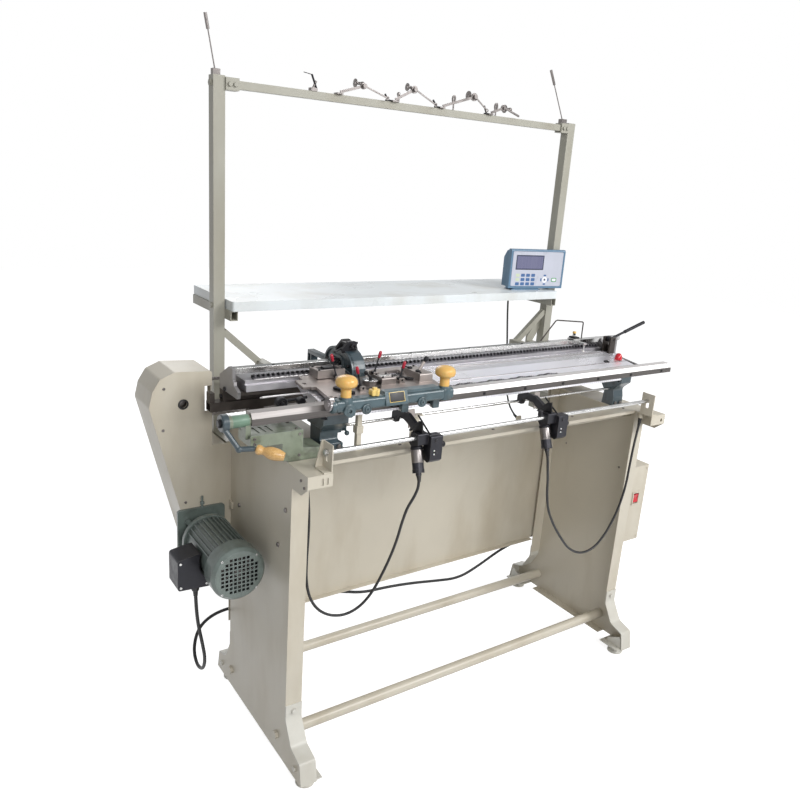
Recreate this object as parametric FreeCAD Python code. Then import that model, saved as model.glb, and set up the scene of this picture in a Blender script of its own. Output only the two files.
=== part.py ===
"""Flat knitting machine: open sheet-metal stand, needle beds, cam carriage and drive.

Millimetres. While building, x = 0 is the outer face of the left end panel, y = 0 the
front edge of the panels and z = 0 the floor. The saved parts are moved so that the
middle of the footprint is the origin.
"""
import os
import math
import FreeCAD, Part

V = FreeCAD.Vector

# stand
WIDTH = 1200.0        # across the outer faces of the end panels
DEPTH = 357.0         # front edge to rear edge of an end panel
SHEET = 2.5           # panel sheet
FLANGE = 43.5         # folded edge of an end panel
PANEL_LOW = 22.0      # underside of the panels
CAP_TOP = 820.0       # top of the cap plates and of the front cross rail
CAP = 3.0             # cap plate sheet
# yarn rack
POST = 30.0           # square post
POST_Y = 448.0        # front face of the posts
POST_TOP = 1652.0
SHELF_LOW = 1091.0
SHELF_TOP = 1116.0
SHELF_FRONT = 401.0
SHELF_REAR = 697.0
# beds
RAIL_LEFT = -84.0
RAIL_RIGHT = 1335.0
BED_LEFT = 100.0
BED_RIGHT = 1207.0
BED_FRONT = 62.0      # where the sloped bed meets the front rail
THROAT_FRONT = 188.0
THROAT_REAR = 200.0
# carriage
CARRIAGE_LEFT = 104.0
CARRIAGE_RIGHT = 440.0
# drive
SHAFT_X = -125.0
SHAFT_Z = 874.0
MOTOR_X = -80.0
MOTOR_Z = 520.0
SPROCKET = 44.0
BIG_PULLEY = 66.0
SMALL_PULLEY = 25.0
IDLER_X = 1262.0
# levers reach furthest right, the belt guard furthest left
LEVER_TIP = 1362.0
GUARD_LEFT = -209.0
TOE = 94.0            # front toe in front of the panel edge

CENTRE_X = (LEVER_TIP + GUARD_LEFT) / 2
CENTRE_Y = (SHELF_REAR - TOE) / 2


def at(plane, a, b, c):
    """Point with a and b in the named plane and c along its normal."""
    if plane == "yz":
        return V(c, a, b)
    if plane == "xz":
        return V(a, c, b)
    return V(a, b, c)


def outline(points, plane, level):
    """Face through corners (a, b) or (a, b, radius)."""
    corners = []
    for p in points:
        corners.append((p[0], p[1], p[2] if len(p) > 2 else 0.0))
    count = len(corners)
    marks = []
    for i in range(count):
        a, b, r = corners[i]
        here = V(a, b, 0)
        if r <= 0:
            marks.append((here, here, here))
            continue
        u = V(corners[i - 1][0], corners[i - 1][1], 0) - here
        w = V(corners[(i + 1) % count][0], corners[(i + 1) % count][1], 0) - here
        u.normalize()
        w.normalize()
        half = u.getAngle(w) / 2
        reach = r / math.tan(half)
        inward = u + w
        inward.normalize()
        middle = here + inward * (r / math.sin(half) - r)
        marks.append((here + u * reach, middle, here + w * reach))
    edges = []
    for i in range(count):
        first, middle, last = [at(plane, m.x, m.y, level) for m in marks[i]]
        following = marks[(i + 1) % count][0]
        following = at(plane, following.x, following.y, level)
        if (last - first).Length > 1e-6:
            edges.append(Part.Arc(first, middle, last).toShape())
        if (following - last).Length > 1e-6:
            edges.append(Part.makeLine(last, following))
    return Part.Face(Part.Wire(edges))


def prism(points, plane, low, high):
    return outline(points, plane, low).extrude(at(plane, 0, 0, high - low))


def box(x0, x1, y0, y1, z0, z1):
    return Part.makeBox(x1 - x0, y1 - y0, z1 - z0, V(x0, y0, z0))


def rod(start, end, radius):
    a = V(*start)
    b = V(*end)
    return Part.makeCylinder(radius, (b - a).Length, a, b - a)


def turned(profile, base, axis):
    """Solid of revolution from (radius, height) or (radius, height, round) corners."""
    face = outline(profile, "xz", 0)
    solid = face.revolve(V(0, 0, 0), V(0, 0, 1), 360)
    turn = FreeCAD.Rotation(V(0, 0, 1), V(*axis))
    solid.Placement = FreeCAD.Placement(V(*base), turn)
    return solid


def hexagon(centre, axis, across, height):
    corners = []
    for k in range(6):
        angle = math.radians(60 * k + 30)
        corners.append((across / math.sqrt(3) * math.cos(angle),
                        across / math.sqrt(3) * math.sin(angle)))
    solid = prism(corners, "xy", 0, height)
    turn = FreeCAD.Rotation(V(0, 0, 1), V(*axis))
    solid.Placement = FreeCAD.Placement(V(*centre), turn)
    return solid


def join(first, *others):
    return first.fuse(list(others)).removeSplitter()


def less(first, *others):
    return first.cut(list(others))


def group(*shapes):
    return Part.makeCompound(list(shapes))


def across(shape):
    """The same piece on the other side of the stand."""
    return shape.mirror(V(WIDTH / 2, 0, 0), V(1, 0, 0))


def behind(shape):
    """The same piece at the rear of an end panel."""
    return shape.mirror(V(0, DEPTH / 2, 0), V(0, 1, 0))


def save(name, shape):
    moved = shape.copy()
    moved.translate(V(-CENTRE_X, -CENTRE_Y, 0))
    moved.exportStep("parts/" + name + ".step")
    low = moved.BoundBox
    print(name, len(moved.Solids), round(moved.Volume / 1000.0, 1), moved.isValid(),
          [round(c, 1) for c in (low.XMin, low.XMax, low.YMin, low.YMax, low.ZMin, low.ZMax)])


def bent_tube(name, points, radius, most=1000.0):
    """Tube of straight runs joined by tangent arcs."""
    knots = [V(*p) for p in points]
    edges = []
    radii = []
    start = knots[0]
    length = 0.0
    for i in range(1, len(knots) - 1):
        u = knots[i - 1] - knots[i]
        w = knots[i + 1] - knots[i]
        reach = min(most, 0.45 * min(u.Length, w.Length))
        turn = math.pi - u.getAngle(w)
        u.normalize()
        w.normalize()
        bend = reach / math.tan(turn / 2)
        radii.append(bend)
        inward = u + w
        inward.normalize()
        first = knots[i] + u * reach
        last = knots[i] + w * reach
        middle = knots[i] + inward * (bend / math.cos(turn / 2) - bend)
        edges.append(Part.makeLine(start, first))
        edges.append(Part.Arc(first, middle, last).toShape())
        start = last
    edges.append(Part.makeLine(start, knots[-1]))
    length = sum(e.Length for e in edges)
    ring = Part.Wire(Part.Circle(knots[0], knots[1] - knots[0], radius).toShape())
    tube = Part.Wire(edges).makePipeShell([ring], True, False)
    even = tube.Volume / (math.pi * radius ** 2 * length)
    print(name, "length", round(length), "least radius", round(min(radii), 1),
          "volume ratio", round(even, 4))
    return tube


# ---- stand -------------------------------------------------------------------

def end_panel():
    """Left end panel: side sheet with a toe front and rear and folded edges."""
    toe = [(0, 817), (0, 148, 22), (-34, 91, 20), (-81, 76, 6), (-91, PANEL_LOW)]
    rear = [(DEPTH - p[0],) + tuple(p[1:]) for p in reversed(toe)]
    side = prism(toe + rear, "yz", 0, SHEET)
    front_fold = box(0, FLANGE, 0, SHEET, 165, 817)
    rear_fold = box(0, FLANGE, DEPTH - SHEET, DEPTH, 165, 817)
    top_fold = box(0, 34, 0, DEPTH, 814.5, 817)
    low_fold = box(0, 30, 20, DEPTH - 20, PANEL_LOW, PANEL_LOW + SHEET)
    panel = join(side, front_fold, rear_fold, top_fold, low_fold)
    holes = [rod((-1, y, z), (4, y, z), 4) for y, z in ((26, 703), (61, 600), (296, 604))]
    for y, z in ((46, 75), (345, 75)):
        holes.append(rod((-1, y, z), (4, y, z), 6.05))
    return less(panel, *holes)


def foot_bracket():
    """Folded toe strip with the plate that carries a levelling foot."""
    strip = [(-3, 190), (-3, 148.8, 25), (-35.9, 93.6, 17), (-83.5, 78.6, 9), (-94, 22),
             (-91, 22), (-81, 76, 6), (-34, 91, 20), (0, 148, 22), (0, 190)]
    face = prism(strip, "yz", 0, FLANGE)
    plate = box(SHEET, 60, -90, -16, 22, 26)
    rib = prism([(-88, 26), (-30, 26), (-34, 40, 8), (-80, 66, 6)], "yz", 40.5, 43.5)
    bolt_low = hexagon((0, -60, 52), (-1, 0, 0), 13, 5)
    bolt_high = hexagon((22, -3, 172), (0, -1, 0), 13, 5)
    foot = join(face, plate, rib, bolt_high)
    return less(foot, rod((30, -58, 15), (30, -58, 30), 5.05)), bolt_low


def levelling_foot():
    """Dome pad with its stud and lock nut."""
    pad = turned([(0, 0), (24, 0), (24, 4, 2), (17, 13, 8), (7, 17), (7, 20), (5, 20),
                  (5, 46), (0, 46)], (30, -58, 0), (0, 0, 1))
    return join(pad, hexagon((30, -58, 26), (0, 0, 1), 17, 8))


def rear_panel():
    sheet = box(0, WIDTH, DEPTH, DEPTH + 2, 220, 815)
    low_fold = box(50, WIDTH - 50, DEPTH - 18, DEPTH + 2, 220, 222)
    top_fold = box(50, WIDTH - 50, DEPTH - 18, DEPTH + 2, 813, 815)
    panel = join(sheet, low_fold, top_fold)
    slots = []
    for k in range(4):
        x = 1040 + 26 * k
        slots.append(box(x, x + 8, 350, 365, 300, 340))
    return less(panel, *slots)


def front_cross_rail():
    profile = [(-10, 811), (-10, 820), (50, 820), (50, 780), (47.5, 780), (47.5, 817.5),
               (-7.5, 817.5), (-7.5, 811)]
    rail = prism(profile, "yz", 62, WIDTH - 62)
    left_tab = box(SHEET, 62, 47.5, 50, 780, 812)
    right_tab = box(WIDTH - 62, WIDTH - SHEET, 47.5, 50, 780, 812)
    return join(rail, left_tab, right_tab)


def cap_plate(inner):
    """Left cap plate with its front and side skirts; inner is its reach at the rear."""
    plan = [(0, -74), (62, -74), (62, 52), (inner, 52), (inner, DEPTH), (0, DEPTH)]
    top = prism(plan, "xy", CAP_TOP - CAP, CAP_TOP)
    skirt = prism([(-74, 817), (-74, 790), (-45, 767), (0, 767), (0, 817)], "yz", 0, SHEET)
    front = box(0, 62, -74, -74 + SHEET, 790, 817)
    return join(top, skirt, front)


def left_cap():
    cap = cap_plate(165.0)
    slots = [box(x, x + 5, -76, -70, 795, 811) for x in (34, 46)]
    return less(cap, *slots)


def right_cap():
    cap = across(cap_plate(95.0))
    return less(cap, rod((1184, -76, 803), (1184, -70, 803), 5))


def tie_tube(y):
    tube = less(rod((SHEET, y, 75), (WIDTH - SHEET, y, 75), 15),
                rod((30, y, 75), (WIDTH - 30, y, 75), 13))
    left = join(rod((0, y, 75), (SHEET, y, 75), 6), hexagon((0, y, 75), (-1, 0, 0), 19, 7))
    right = across(left)
    return join(tube, left, right)


# ---- yarn rack ---------------------------------------------------------------

def post(x, outward):
    outer = box(x, x + POST, POST_Y, POST_Y + POST, 690, POST_TOP)
    inner = box(x + 3, x + POST - 3, POST_Y + 3, POST_Y + POST - 3, 680, POST_TOP - 3)
    tube = less(outer, inner)
    arm = less(box(x, x + POST, DEPTH + 2, POST_Y, 690, 760),
               box(x + 3, x + POST - 3, DEPTH, POST_Y + 1, 693, 757))
    bolts = []
    for z in (712, 738):
        bolts.append(hexagon((x + 15, POST_Y + POST, z), (0, 1, 0), 13, 5))
    for z in (1100, 1634):
        side = x if outward < 0 else x + POST
        bolts.append(hexagon((side, POST_Y + 15, z), (outward, 0, 0), 13, 5))
    return join(tube, arm, *bolts)


def top_rail():
    tube = less(box(17.5, 1176, 448, 468, 1625, 1644), box(17.5, 1176, 450, 466, 1627, 1642))
    pieces = [tube]
    for x in (17.5, 1142):
        pieces.append(less(box(x, x + 34, 443, 473, 1620, 1649),
                           box(x - 1, x + 35, 447, 469, 1624, 1645)))
        pieces.append(hexagon((x + 10, 443, 1634), (0, -1, 0), 10, 5))
        pieces.append(hexagon((x + 24, 443, 1634), (0, -1, 0), 10, 5))
    return join(*pieces)


def strut(x0, z0, x1, z1, wide, y0, y1):
    """Flat bar in a plane across the machine between two points."""
    along = V(x1 - x0, 0, z1 - z0)
    along.normalize()
    off = V(-along.z, 0, along.x) * (wide / 2)
    corners = [(x0 + off.x, z0 + off.z), (x1 + off.x, z1 + off.z),
               (x1 - off.x, z1 - off.z), (x0 - off.x, z0 - off.z)]
    return prism(corners, "xz", y0, y1)


def left_brace():
    bar = strut(17.5, 1030, 123, 936, 18, 452, 468)
    bar = less(bar, box(-30, 17.5, 440, 480, 900, 1100))
    arm = box(112, 136, 300, 468, 930, 946)
    return join(bar, arm, box(112, 136, 300, 312, 892, 946))


def right_brace():
    bar = strut(1176, 1038, 1052, 929, 18, 452, 468)
    bar = less(bar, box(1176, 1230, 440, 480, 900, 1100))
    arm = box(1040, 1064, 300, 468, 930, 946)
    return join(bar, arm, box(1040, 1064, 300, 312, 892, 946))


def right_gusset():
    plate = prism([(1176, 1020), (1176, 975), (1150, 935), (1124, 935), (1124, 952)],
                  "xz", 470, 478)
    arm = box(1124, 1150, 300, 478, 928, 935)
    return join(plate, arm, box(1124, 1150, 300, 312, 892, 935))


def shelf_arm():
    bar = less(box(17.5, 37.5, 408, 690, 1066, SHELF_LOW),
               box(20, 35, 400, 700, 1068.5, SHELF_LOW - 2.5))
    return bar


def antenna(base, tip, foot):
    """Spring strip with a sleeve at its free end and a clamp at its foot."""
    a = V(*base)
    b = V(*tip)
    near = a + (b - a) * 0.72
    strip = rod(base, tip, 1.6)
    sleeve = rod((near.x, near.y, near.z), tip, 4.0)
    return join(strip, sleeve, foot)


def antennas():
    left_foot = box(-10, 8, 455, 471, POST_TOP, POST_TOP + 14)
    left = antenna((-2, 463, 1660), (-29, 455, 1782), left_foot)
    right_foot = box(1146, 1168, 450, 466, 1649, 1662)
    right = antenna((1157, 458, 1655), (1078, 455, 1798), right_foot)
    return group(left, right)


def tension_bracket(x0, x1, z1, disc):
    """Fixed arm of a yarn tension unit with its disc, standing on the top rail."""
    foot = box(x0 - 9, x0 + 9, 440, 460, 1644, 1648)
    bar = strut(x0, 1650, x1, z1, 7, 440, 443)
    plate = rod((x1, 440, z1), (x1, 446, z1), disc)
    bracket = join(foot, bar, plate)
    return less(bracket, rod((x1, 430, z1), (x1, 450, z1), 3.0))


def tension_brackets():
    small = join(box(246, 264, 446, 462, 1644, 1652), rod((255, 454, 1652), (262, 452, 1669), 3))
    first = tension_bracket(328, 398, 1672, 8)
    second = tension_bracket(500, 561, 1682, 10)
    third = tension_bracket(662, 774, 1686, 11)
    fourth = tension_bracket(842, 890, 1668, 9)
    tail = strut(890, 1668, 950, 1650, 5, 436, 440)
    fourth = join(fourth, tail, rod((890, 436, 1668), (890, 446, 1668), 5))
    return group(small, first, second, third, fourth)


def take_up_arm(x0, z0, x1, z1):
    """Swinging yarn arm on its pin."""
    pin = rod((x0, 433, z0), (x0, 448, z0), 2.95)
    hub = rod((x0, 433, z0), (x0, 439.7, z0), 6)
    bar = strut(x0, z0, x1, z1, 4, 436, 438)
    eye = less(rod((x1, 436, z1), (x1, 438, z1), 5), rod((x1, 430, z1), (x1, 440, z1), 2.5))
    bar = less(bar, rod((x1, 430, z1), (x1, 440, z1), 2.5))
    return join(pin, hub, bar, eye)


def shelf():
    outer = prism([(21, SHELF_FRONT, 6), (1172.5, SHELF_FRONT, 6), (1172.5, SHELF_REAR, 6),
                   (21, SHELF_REAR, 6)], "xy", SHELF_LOW, SHELF_TOP)
    inner = prism([(23.5, SHELF_FRONT + 2.5, 4), (1170, SHELF_FRONT + 2.5, 4),
                   (1170, SHELF_REAR - 2.5, 4), (23.5, SHELF_REAR - 2.5, 4)],
                  "xy", SHELF_LOW - 1, SHELF_TOP - 2.5)
    return less(outer, inner)


def tilt_controller(shape):
    """From the controller's own axes to its place on the shelf."""
    shape.rotate(V(0, 0, 0), V(0, 0, 1), -8.5)
    shape.translate(V(998, 456, SHELF_TOP))
    return shape


def controller_housing():
    slim = prism([(0, 6), (0, 134, 6), (17, 134, 5), (17, 6)], "yz", 0, 216)
    hump = prism([(12, 10), (12, 128), (34, 128, 12), (52, 104, 12), (52, 10)], "yz", 6, 150)
    case = join(slim, hump)
    recess = prism([(7, 13, 5), (209, 13, 5), (209, 127, 5), (7, 127, 5)], "xz", -1, 4)
    foot = prism([(14, 0), (26, 6), (120, 6), (132, 0)], "xz", 4, 46)
    case = less(case, recess)
    return tilt_controller(join(case, foot))


def controller_panel():
    plate = prism([(7, 13, 5), (209, 13, 5), (209, 127, 5), (7, 127, 5)], "xz", 1.2, 4)
    plate = less(plate, box(18, 92, 0, 2.4, 72, 116))
    keys = []
    for row in range(4):
        for column in range(3):
            x = 112 + 20 * column
            z = 46 + 18 * row
            keys.append(prism([(x, z, 2), (x + 14, z, 2), (x + 14, z + 11, 2), (x, z + 11, 2)],
                              "xz", 0.2, 1.2))
    for x in (22, 46, 70):
        keys.append(prism([(x, 48, 2), (x + 15, 48, 2), (x + 15, 59, 2), (x, 59, 2)],
                          "xz", 0.2, 1.2))
    pad = rod((190, 0.2, 60), (190, 1.2, 60), 12)
    ring = rod((38, 0.2, 30), (38, 1.2, 30), 7)
    return tilt_controller(join(plate, pad, ring, *keys))


# ---- drive -------------------------------------------------------------------

def belt_guard():
    """Deep sheet cover round the belt, open at the rear, with its bearing plate."""
    rim = [(-51, 953, 6), (-144, 958, 14), (-181, 942, 14), (-200, 911, 14), (-209, 872, 14),
           (-159, 679, 20), (-112, 501, 10), (-98, 450, 14), (-70, 438, 10), (-16, 438, 8),
           (-16, 757), (-51, 757)]
    shell = prism(rim, "xz", 357, 480)
    face = outline(rim, "xz", 359)
    hollow = face.makeOffset2D(-2.0).extrude(V(0, 130, 0))
    shell = less(shell, hollow)
    lip = box(-18, 0, 357, 359, 452, 757)
    plate = box(-205, -53, 414, 420, 846, 902)
    inside = face.makeOffset2D(-1.0).extrude(V(0, 130, 0))
    plate = plate.common(inside)
    latch = prism([(338, 574, 4), (357, 574), (357, 594), (338, 594, 4)], "yz", -5, 0)
    latch = join(latch, box(-5, 0, 350, 357, 570, 598))
    guard = join(shell, lip, plate, latch)
    notch = box(-70, -40, 350, 362, 851, 916)
    strands = box(-60, -40, 386, 414, 818, 932)
    bore = rod((SHAFT_X, 340, SHAFT_Z), (SHAFT_X, 430, SHAFT_Z), 9.0)
    motor_hole = rod((MOTOR_X, 340, MOTOR_Z), (MOTOR_X, 365, MOTOR_Z), 16)
    return less(guard, notch, strands, bore, motor_hole)


def motor_body():
    core = rod((MOTOR_X, 152, MOTOR_Z), (MOTOR_X, 309, MOTOR_Z), 58)
    fins = []
    for k in range(28):
        angle = -150 + k * 300.0 / 27
        fin = box(57, 64, 158, 300, -1.2, 1.2)
        fin.rotate(V(0, 0, 0), V(0, 1, 0), -angle)
        fin.translate(V(MOTOR_X, 0, MOTOR_Z))
        fins.append(fin)
    flange = rod((MOTOR_X, 305, MOTOR_Z), (MOTOR_X, 317, MOTOR_Z), 66)
    body = join(core, flange, *fins)
    return less(body, rod((MOTOR_X, 140, MOTOR_Z), (MOTOR_X, 330, MOTOR_Z), 9.05))


def motor_fan_cover():
    shell = turned([(0, 0), (60, 0), (68, 8, 6), (68, 52), (66, 52), (66, 9, 4), (59, 2), (0, 2)],
                   (MOTOR_X, 100, MOTOR_Z), (0, 1, 0))
    holes = []
    for i in range(-5, 6):
        for j in range(-5, 6):
            if math.hypot(i, j) * 10.5 > 50:
                continue
            x = MOTOR_X + 10.5 * i
            z = MOTOR_Z + 10.5 * j
            holes.append(box(x - 3.6, x + 3.6, 95, 106, z - 3.6, z + 3.6))
    cover = less(shell, *holes)
    ring = less(rod((MOTOR_X, 147, MOTOR_Z), (MOTOR_X, 152, MOTOR_Z), 66.5),
                rod((MOTOR_X, 140, MOTOR_Z), (MOTOR_X, 160, MOTOR_Z), 54))
    return join(cover, ring)


def grooved(radius, thick, y, x, z):
    """Belt pulley with a groove."""
    return turned([(0, 0), (radius, 0), (radius, 2), (radius - 4, 4), (radius - 4, thick - 4),
                   (radius, thick - 2), (radius, thick), (0, thick)], (x, y, z), (0, 1, 0))


def motor_rotor():
    shaft = rod((MOTOR_X, 112, MOTOR_Z), (MOTOR_X, 452, MOTOR_Z), 9.0)
    disc = rod((MOTOR_X, 134, MOTOR_Z), (MOTOR_X, 138, MOTOR_Z), 50)
    blades = []
    for k in range(9):
        blade = box(12, 50, 116, 135, -1.2, 1.2)
        blade.rotate(V(0, 0, 0), V(0, 1, 0), 40 * k)
        blade.translate(V(MOTOR_X, 0, MOTOR_Z))
        blades.append(blade)
    pulley = grooved(SMALL_PULLEY, 14, 433, MOTOR_X, MOTOR_Z)
    return join(shaft, disc, pulley, *blades)


def terminal_box():
    case = prism([(-197, 456, 6), (-197, 536, 8), (-150, 544, 6), (-118, 544), (-118, 452, 4)],
                 "xz", 196, 262)
    case = less(case, rod((MOTOR_X, 190, MOTOR_Z), (MOTOR_X, 270, MOTOR_Z), 64.5))
    neck = box(-146, -134, 214, 244, 494, 520)
    neck = less(neck, rod((MOTOR_X, 190, MOTOR_Z), (MOTOR_X, 270, MOTOR_Z), 58))
    gland = rod((-143, 229, 440), (-143, 229, 462), 9)
    nut = hexagon((-143, 229, 438), (0, 0, 1), 20, 8)
    return join(case, neck, gland, nut)


def motor_mount():
    plate = prism([(-146, 448, 8), (-20, 448, 8), (-20, 592, 8), (-146, 592, 8)], "xz", 349, 357)
    posts = []
    for angle in (45, 135, 225, 315):
        x = MOTOR_X + 56 * math.cos(math.radians(angle))
        z = MOTOR_Z + 56 * math.sin(math.radians(angle))
        posts.append(rod((x, 317, z), (x, 349, z), 7))
    screw = rod((MOTOR_X, 352, 592), (MOTOR_X, 352, 622), 3)
    nut = hexagon((MOTOR_X, 352, 600), (0, 0, 1), 10, 6)
    mount = join(plate, *posts)
    mount = less(mount, rod((MOTOR_X, 340, MOTOR_Z), (MOTOR_X, 360, MOTOR_Z), 14))
    return join(mount, screw, nut)


def sprocket(x, z, y0, y1):
    """Chain wheel with eighteen teeth."""
    teeth = 18
    wheel = rod((x, y0, z), (x, y1, z), SPROCKET - 5.5)
    shapes = []
    for k in range(teeth):
        tooth = prism([(-4, 36), (4, 36), (1.6, 43), (-1.6, 43)], "xz", y0 + 2, y1 - 2)
        tooth.rotate(V(0, 0, 0), V(0, 1, 0), 360.0 * k / teeth)
        tooth.translate(V(x, 0, z))
        shapes.append(tooth)
    return join(wheel, *shapes)


def drive_shaft():
    shaft = rod((SHAFT_X, 372, SHAFT_Z), (SHAFT_X, 462, SHAFT_Z), 8.95)
    wheel = sprocket(SHAFT_X, SHAFT_Z, 395.5, 404.5)
    pulley = grooved(BIG_PULLEY, 14, 433, SHAFT_X, SHAFT_Z)
    windows = []
    for k in range(5):
        window = rod((38, 430, 0), (38, 450, 0), 12)
        window.rotate(V(0, 0, 0), V(0, 1, 0), 72 * k)
        window.translate(V(SHAFT_X, 0, SHAFT_Z))
        windows.append(window)
    return join(shaft, wheel, less(pulley, *windows))


def loop_band(x0, z0, r0, x1, z1, r1, thick, y0, y1):
    """Endless band round two wheels: the ring between two tangent hulls."""
    def hull(grow):
        gap = math.hypot(x1 - x0, z1 - z0)
        lean = math.atan2(z1 - z0, x1 - x0)
        open_angle = math.acos((r0 - r1) / gap)
        spots = []
        for sign in (1, -1):
            for x, z, r in ((x0, z0, r0 + grow), (x1, z1, r1 + grow)):
                angle = lean + sign * open_angle
                spots.append(V(x + r * math.cos(angle), 0, z + r * math.sin(angle)))
        far0 = V(x0 - (r0 + grow) * math.cos(lean), 0, z0 - (r0 + grow) * math.sin(lean))
        far1 = V(x1 + (r1 + grow) * math.cos(lean), 0, z1 + (r1 + grow) * math.sin(lean))
        top0, top1, low0, low1 = spots
        edges = [Part.makeLine(top0, top1), Part.Arc(top1, far1, low1).toShape(),
                 Part.makeLine(low1, low0), Part.Arc(low0, far0, top0).toShape()]
        return Part.Face(Part.Wire(edges))
    solid = hull(thick).extrude(V(0, y1 - y0, 0)).cut(hull(0).extrude(V(0, y1 - y0, 0)))
    solid.translate(V(0, y0, 0))
    return solid


def drive_belt():
    return loop_band(SHAFT_X, SHAFT_Z, BIG_PULLEY - 3.7, MOTOR_X, MOTOR_Z, SMALL_PULLEY - 3.7,
                     7, 437.3, 442.7)


def drive_chain():
    return loop_band(SHAFT_X, SHAFT_Z, SPROCKET - 0.6, IDLER_X, SHAFT_Z, SPROCKET - 0.6,
                     10, 395, 405)


def idler_sprocket():
    wheel = sprocket(IDLER_X, SHAFT_Z, 395.5, 404.5)
    hub = rod((IDLER_X, 388, SHAFT_Z), (IDLER_X, 412, SHAFT_Z), 12)
    bore = rod((IDLER_X, 380, SHAFT_Z), (IDLER_X, 420, SHAFT_Z), 8.05)
    return less(join(wheel, hub), bore)


# ---- beds --------------------------------------------------------------------

def left_bed_plate():
    """Small plate that closes the left end of the rear bed and of the feeder rail."""
    return prism([(196, 924), (193, 941), (217, 951), (219, 959), (226, 961), (226, 990),
                  (250, 991), (308, 958), (308, 892), (286.5, 892), (286.5, 924)],
                 "yz", -50, -42)


def right_bed_plate():
    return prism([(62, 914), (62, 938), (188, 952), (200, 950), (228, 990), (250, 990),
                  (308, 958), (308, 892), (286.5, 892), (200, 905), (110, 905)],
                 "yz", 1215, 1223)


def bed_frame():
    """Rear beam, carrier under the rear bed, end plates, idler arm and yarn guide wire."""
    beam = less(box(-82, 1290, 285, 315, 869, 892), box(-83, 1291, 288, 312, 872, 889))
    carrier = prism([(206, 928), (206, 937.95), (300, 937.95), (300, 892), (290, 892),
                     (290, 928)], "yz", -42, 1215)
    left = left_bed_plate()
    right = less(right_bed_plate(), box(1210, 1230, 227.9, 250.1, 975.9, 995))
    tab = box(-82, -70, 288, 312, 892, 916)
    uprights = [box(20, 60, 290, 310, CAP_TOP, 869), box(1120, 1160, 290, 310, CAP_TOP, 869)]
    idler_arm = box(IDLER_X - 14, IDLER_X + 14, 313, 386, 862, 886)
    pin = rod((IDLER_X, 386, SHAFT_Z), (IDLER_X, 416, SHAFT_Z), 8)
    washer = rod((IDLER_X, 412.4, SHAFT_Z), (IDLER_X, 416, SHAFT_Z), 12)
    track = [(1026, 892), (1026, 973), (1087, 1039), (1215, 1027), (1216, 892)]
    wire = bent_tube("guide wire", [(x, 308, z) for x, z in track], 2.2, 6.0)
    cheeks = [box(1192, 1223, 164, 170, 950, 1004), box(1192, 1223, 190, 196, 950, 1004)]
    cheeks = [less(c, rod((1206, 160, 996), (1206, 200, 996), 4.05)) for c in cheeks]
    step = box(1208.5, 1223, 170, 190, 940, 976)
    frame = join(beam, carrier, left, right, tab, idler_arm, pin, washer, step,
                 *(uprights + cheeks))
    return group(frame, wire)


def front_needle_bed():
    profile = [(33, 907), (33, 914), (62, 914), (62, 936), (THROAT_FRONT, 957),
               (THROAT_FRONT, 944), (150, 928), (110, 907)]
    bed = prism(profile, "yz", BED_LEFT, BED_RIGHT)
    slope = 0.1667
    cuts = [prism([(1046, 58, 4), (1074, 58, 4), (1074, 72, 4), (1046, 72, 4)], "xy", 932, 945)]
    for x, y in ((960, 92), (1000, 86), (1030, 84)):
        z = 936 + slope * (y - 62)
        cuts.append(rod((x, y, z - 3), (x, y, z + 3), 3))
    bezel = join(prism([(1178, 121, 6), (1203, 121, 6), (1203, 150, 6), (1178, 150, 6)],
                       "xy", 940, 953), rod((1190, 135, 950), (1190, 135, 960), 9))
    cuts.append(box(1191.5, 1208, 163.5, 189, 949.9, 960))
    return join(less(bed, *cuts), bezel)


def rear_needle_bed():
    profile = [(200, 938), (200, 953), (209, 953), (209, 957), (206, 957), (206, 964),
               (285, 964), (285, 957), (281, 957), (281, 953), (290, 953), (290, 938)]
    return prism(profile, "yz", -26, 1198)


def needle_comb():
    pieces = [box(-4, 1190, 212, 222, 964, 968)]
    x = 0.0
    while x < 1186:
        pieces.append(box(x, x + 4.5, 212, 221, 968, 975))
        x += 13.0
    return join(*pieces)


def front_slide_rail():
    profile = [(30, 914), (30, 929), (37, 941), (BED_FRONT, 941), (BED_FRONT, 914)]
    return prism(profile, "yz", RAIL_LEFT, RAIL_RIGHT)


def feeder_rail():
    return prism([(228, 976, 1), (228, 990, 1), (250, 990, 1), (250, 976, 1)], "yz", -42, 1312)


def left_support():
    foot = prism([(52.5, 820), (52.5, 836, 4), (64, 846, 8), (62, 868, 12), (31, 892, 4),
                  (31, 914), (33, 914), (33, 907), (110, 907), (112, 880, 12), (110, 820)],
                 "yz", 91, 157)
    clear = box(80, 99.9, 20, 40, 906, 920)
    waist = [box(88, 100, 40, 120, 836, 880), box(148, 160, 40, 120, 836, 858)]
    clamp = join(box(157, 170, 61, 79, 862, 882), rod((164, 61, 868), (164, 50, 862), 2.5),
                 Part.makeSphere(6, V(164, 48, 860)))
    clamp = less(clamp, rod((150, 70, 872), (180, 70, 872), 3.75))
    return join(less(foot, clear, *waist), clamp)


def right_support():
    body = prism([(52.5, 820), (52.5, 848, 10), (58, 872, 14), (31, 896, 4), (31, 914),
                  (33, 914), (33, 907), (110, 907), (112, 886, 6), (92, 862, 10), (96, 820)],
                 "yz", 1108, 1150)
    return less(body, rod((1100, 42, 900), (1112, 42, 900), 3))


# ---- carriage ----------------------------------------------------------------

def plate_top(y):
    """Height of the top of the carriage plate at y."""
    return 951.0 + max(0.0, y - 60.0) * 17.0 / 128.0


# foot x, y, tip x and height of each cam lever
LEVERS = ((187, 150, 170, 1028), (296, 150, 313, 1026), (214, 78, 200, 1012),
          (341, 100, 354, 1008))


def lever_axis(y):
    """Height of the cross pin of a cam lever at y."""
    return plate_top(y) + 6.5


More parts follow.
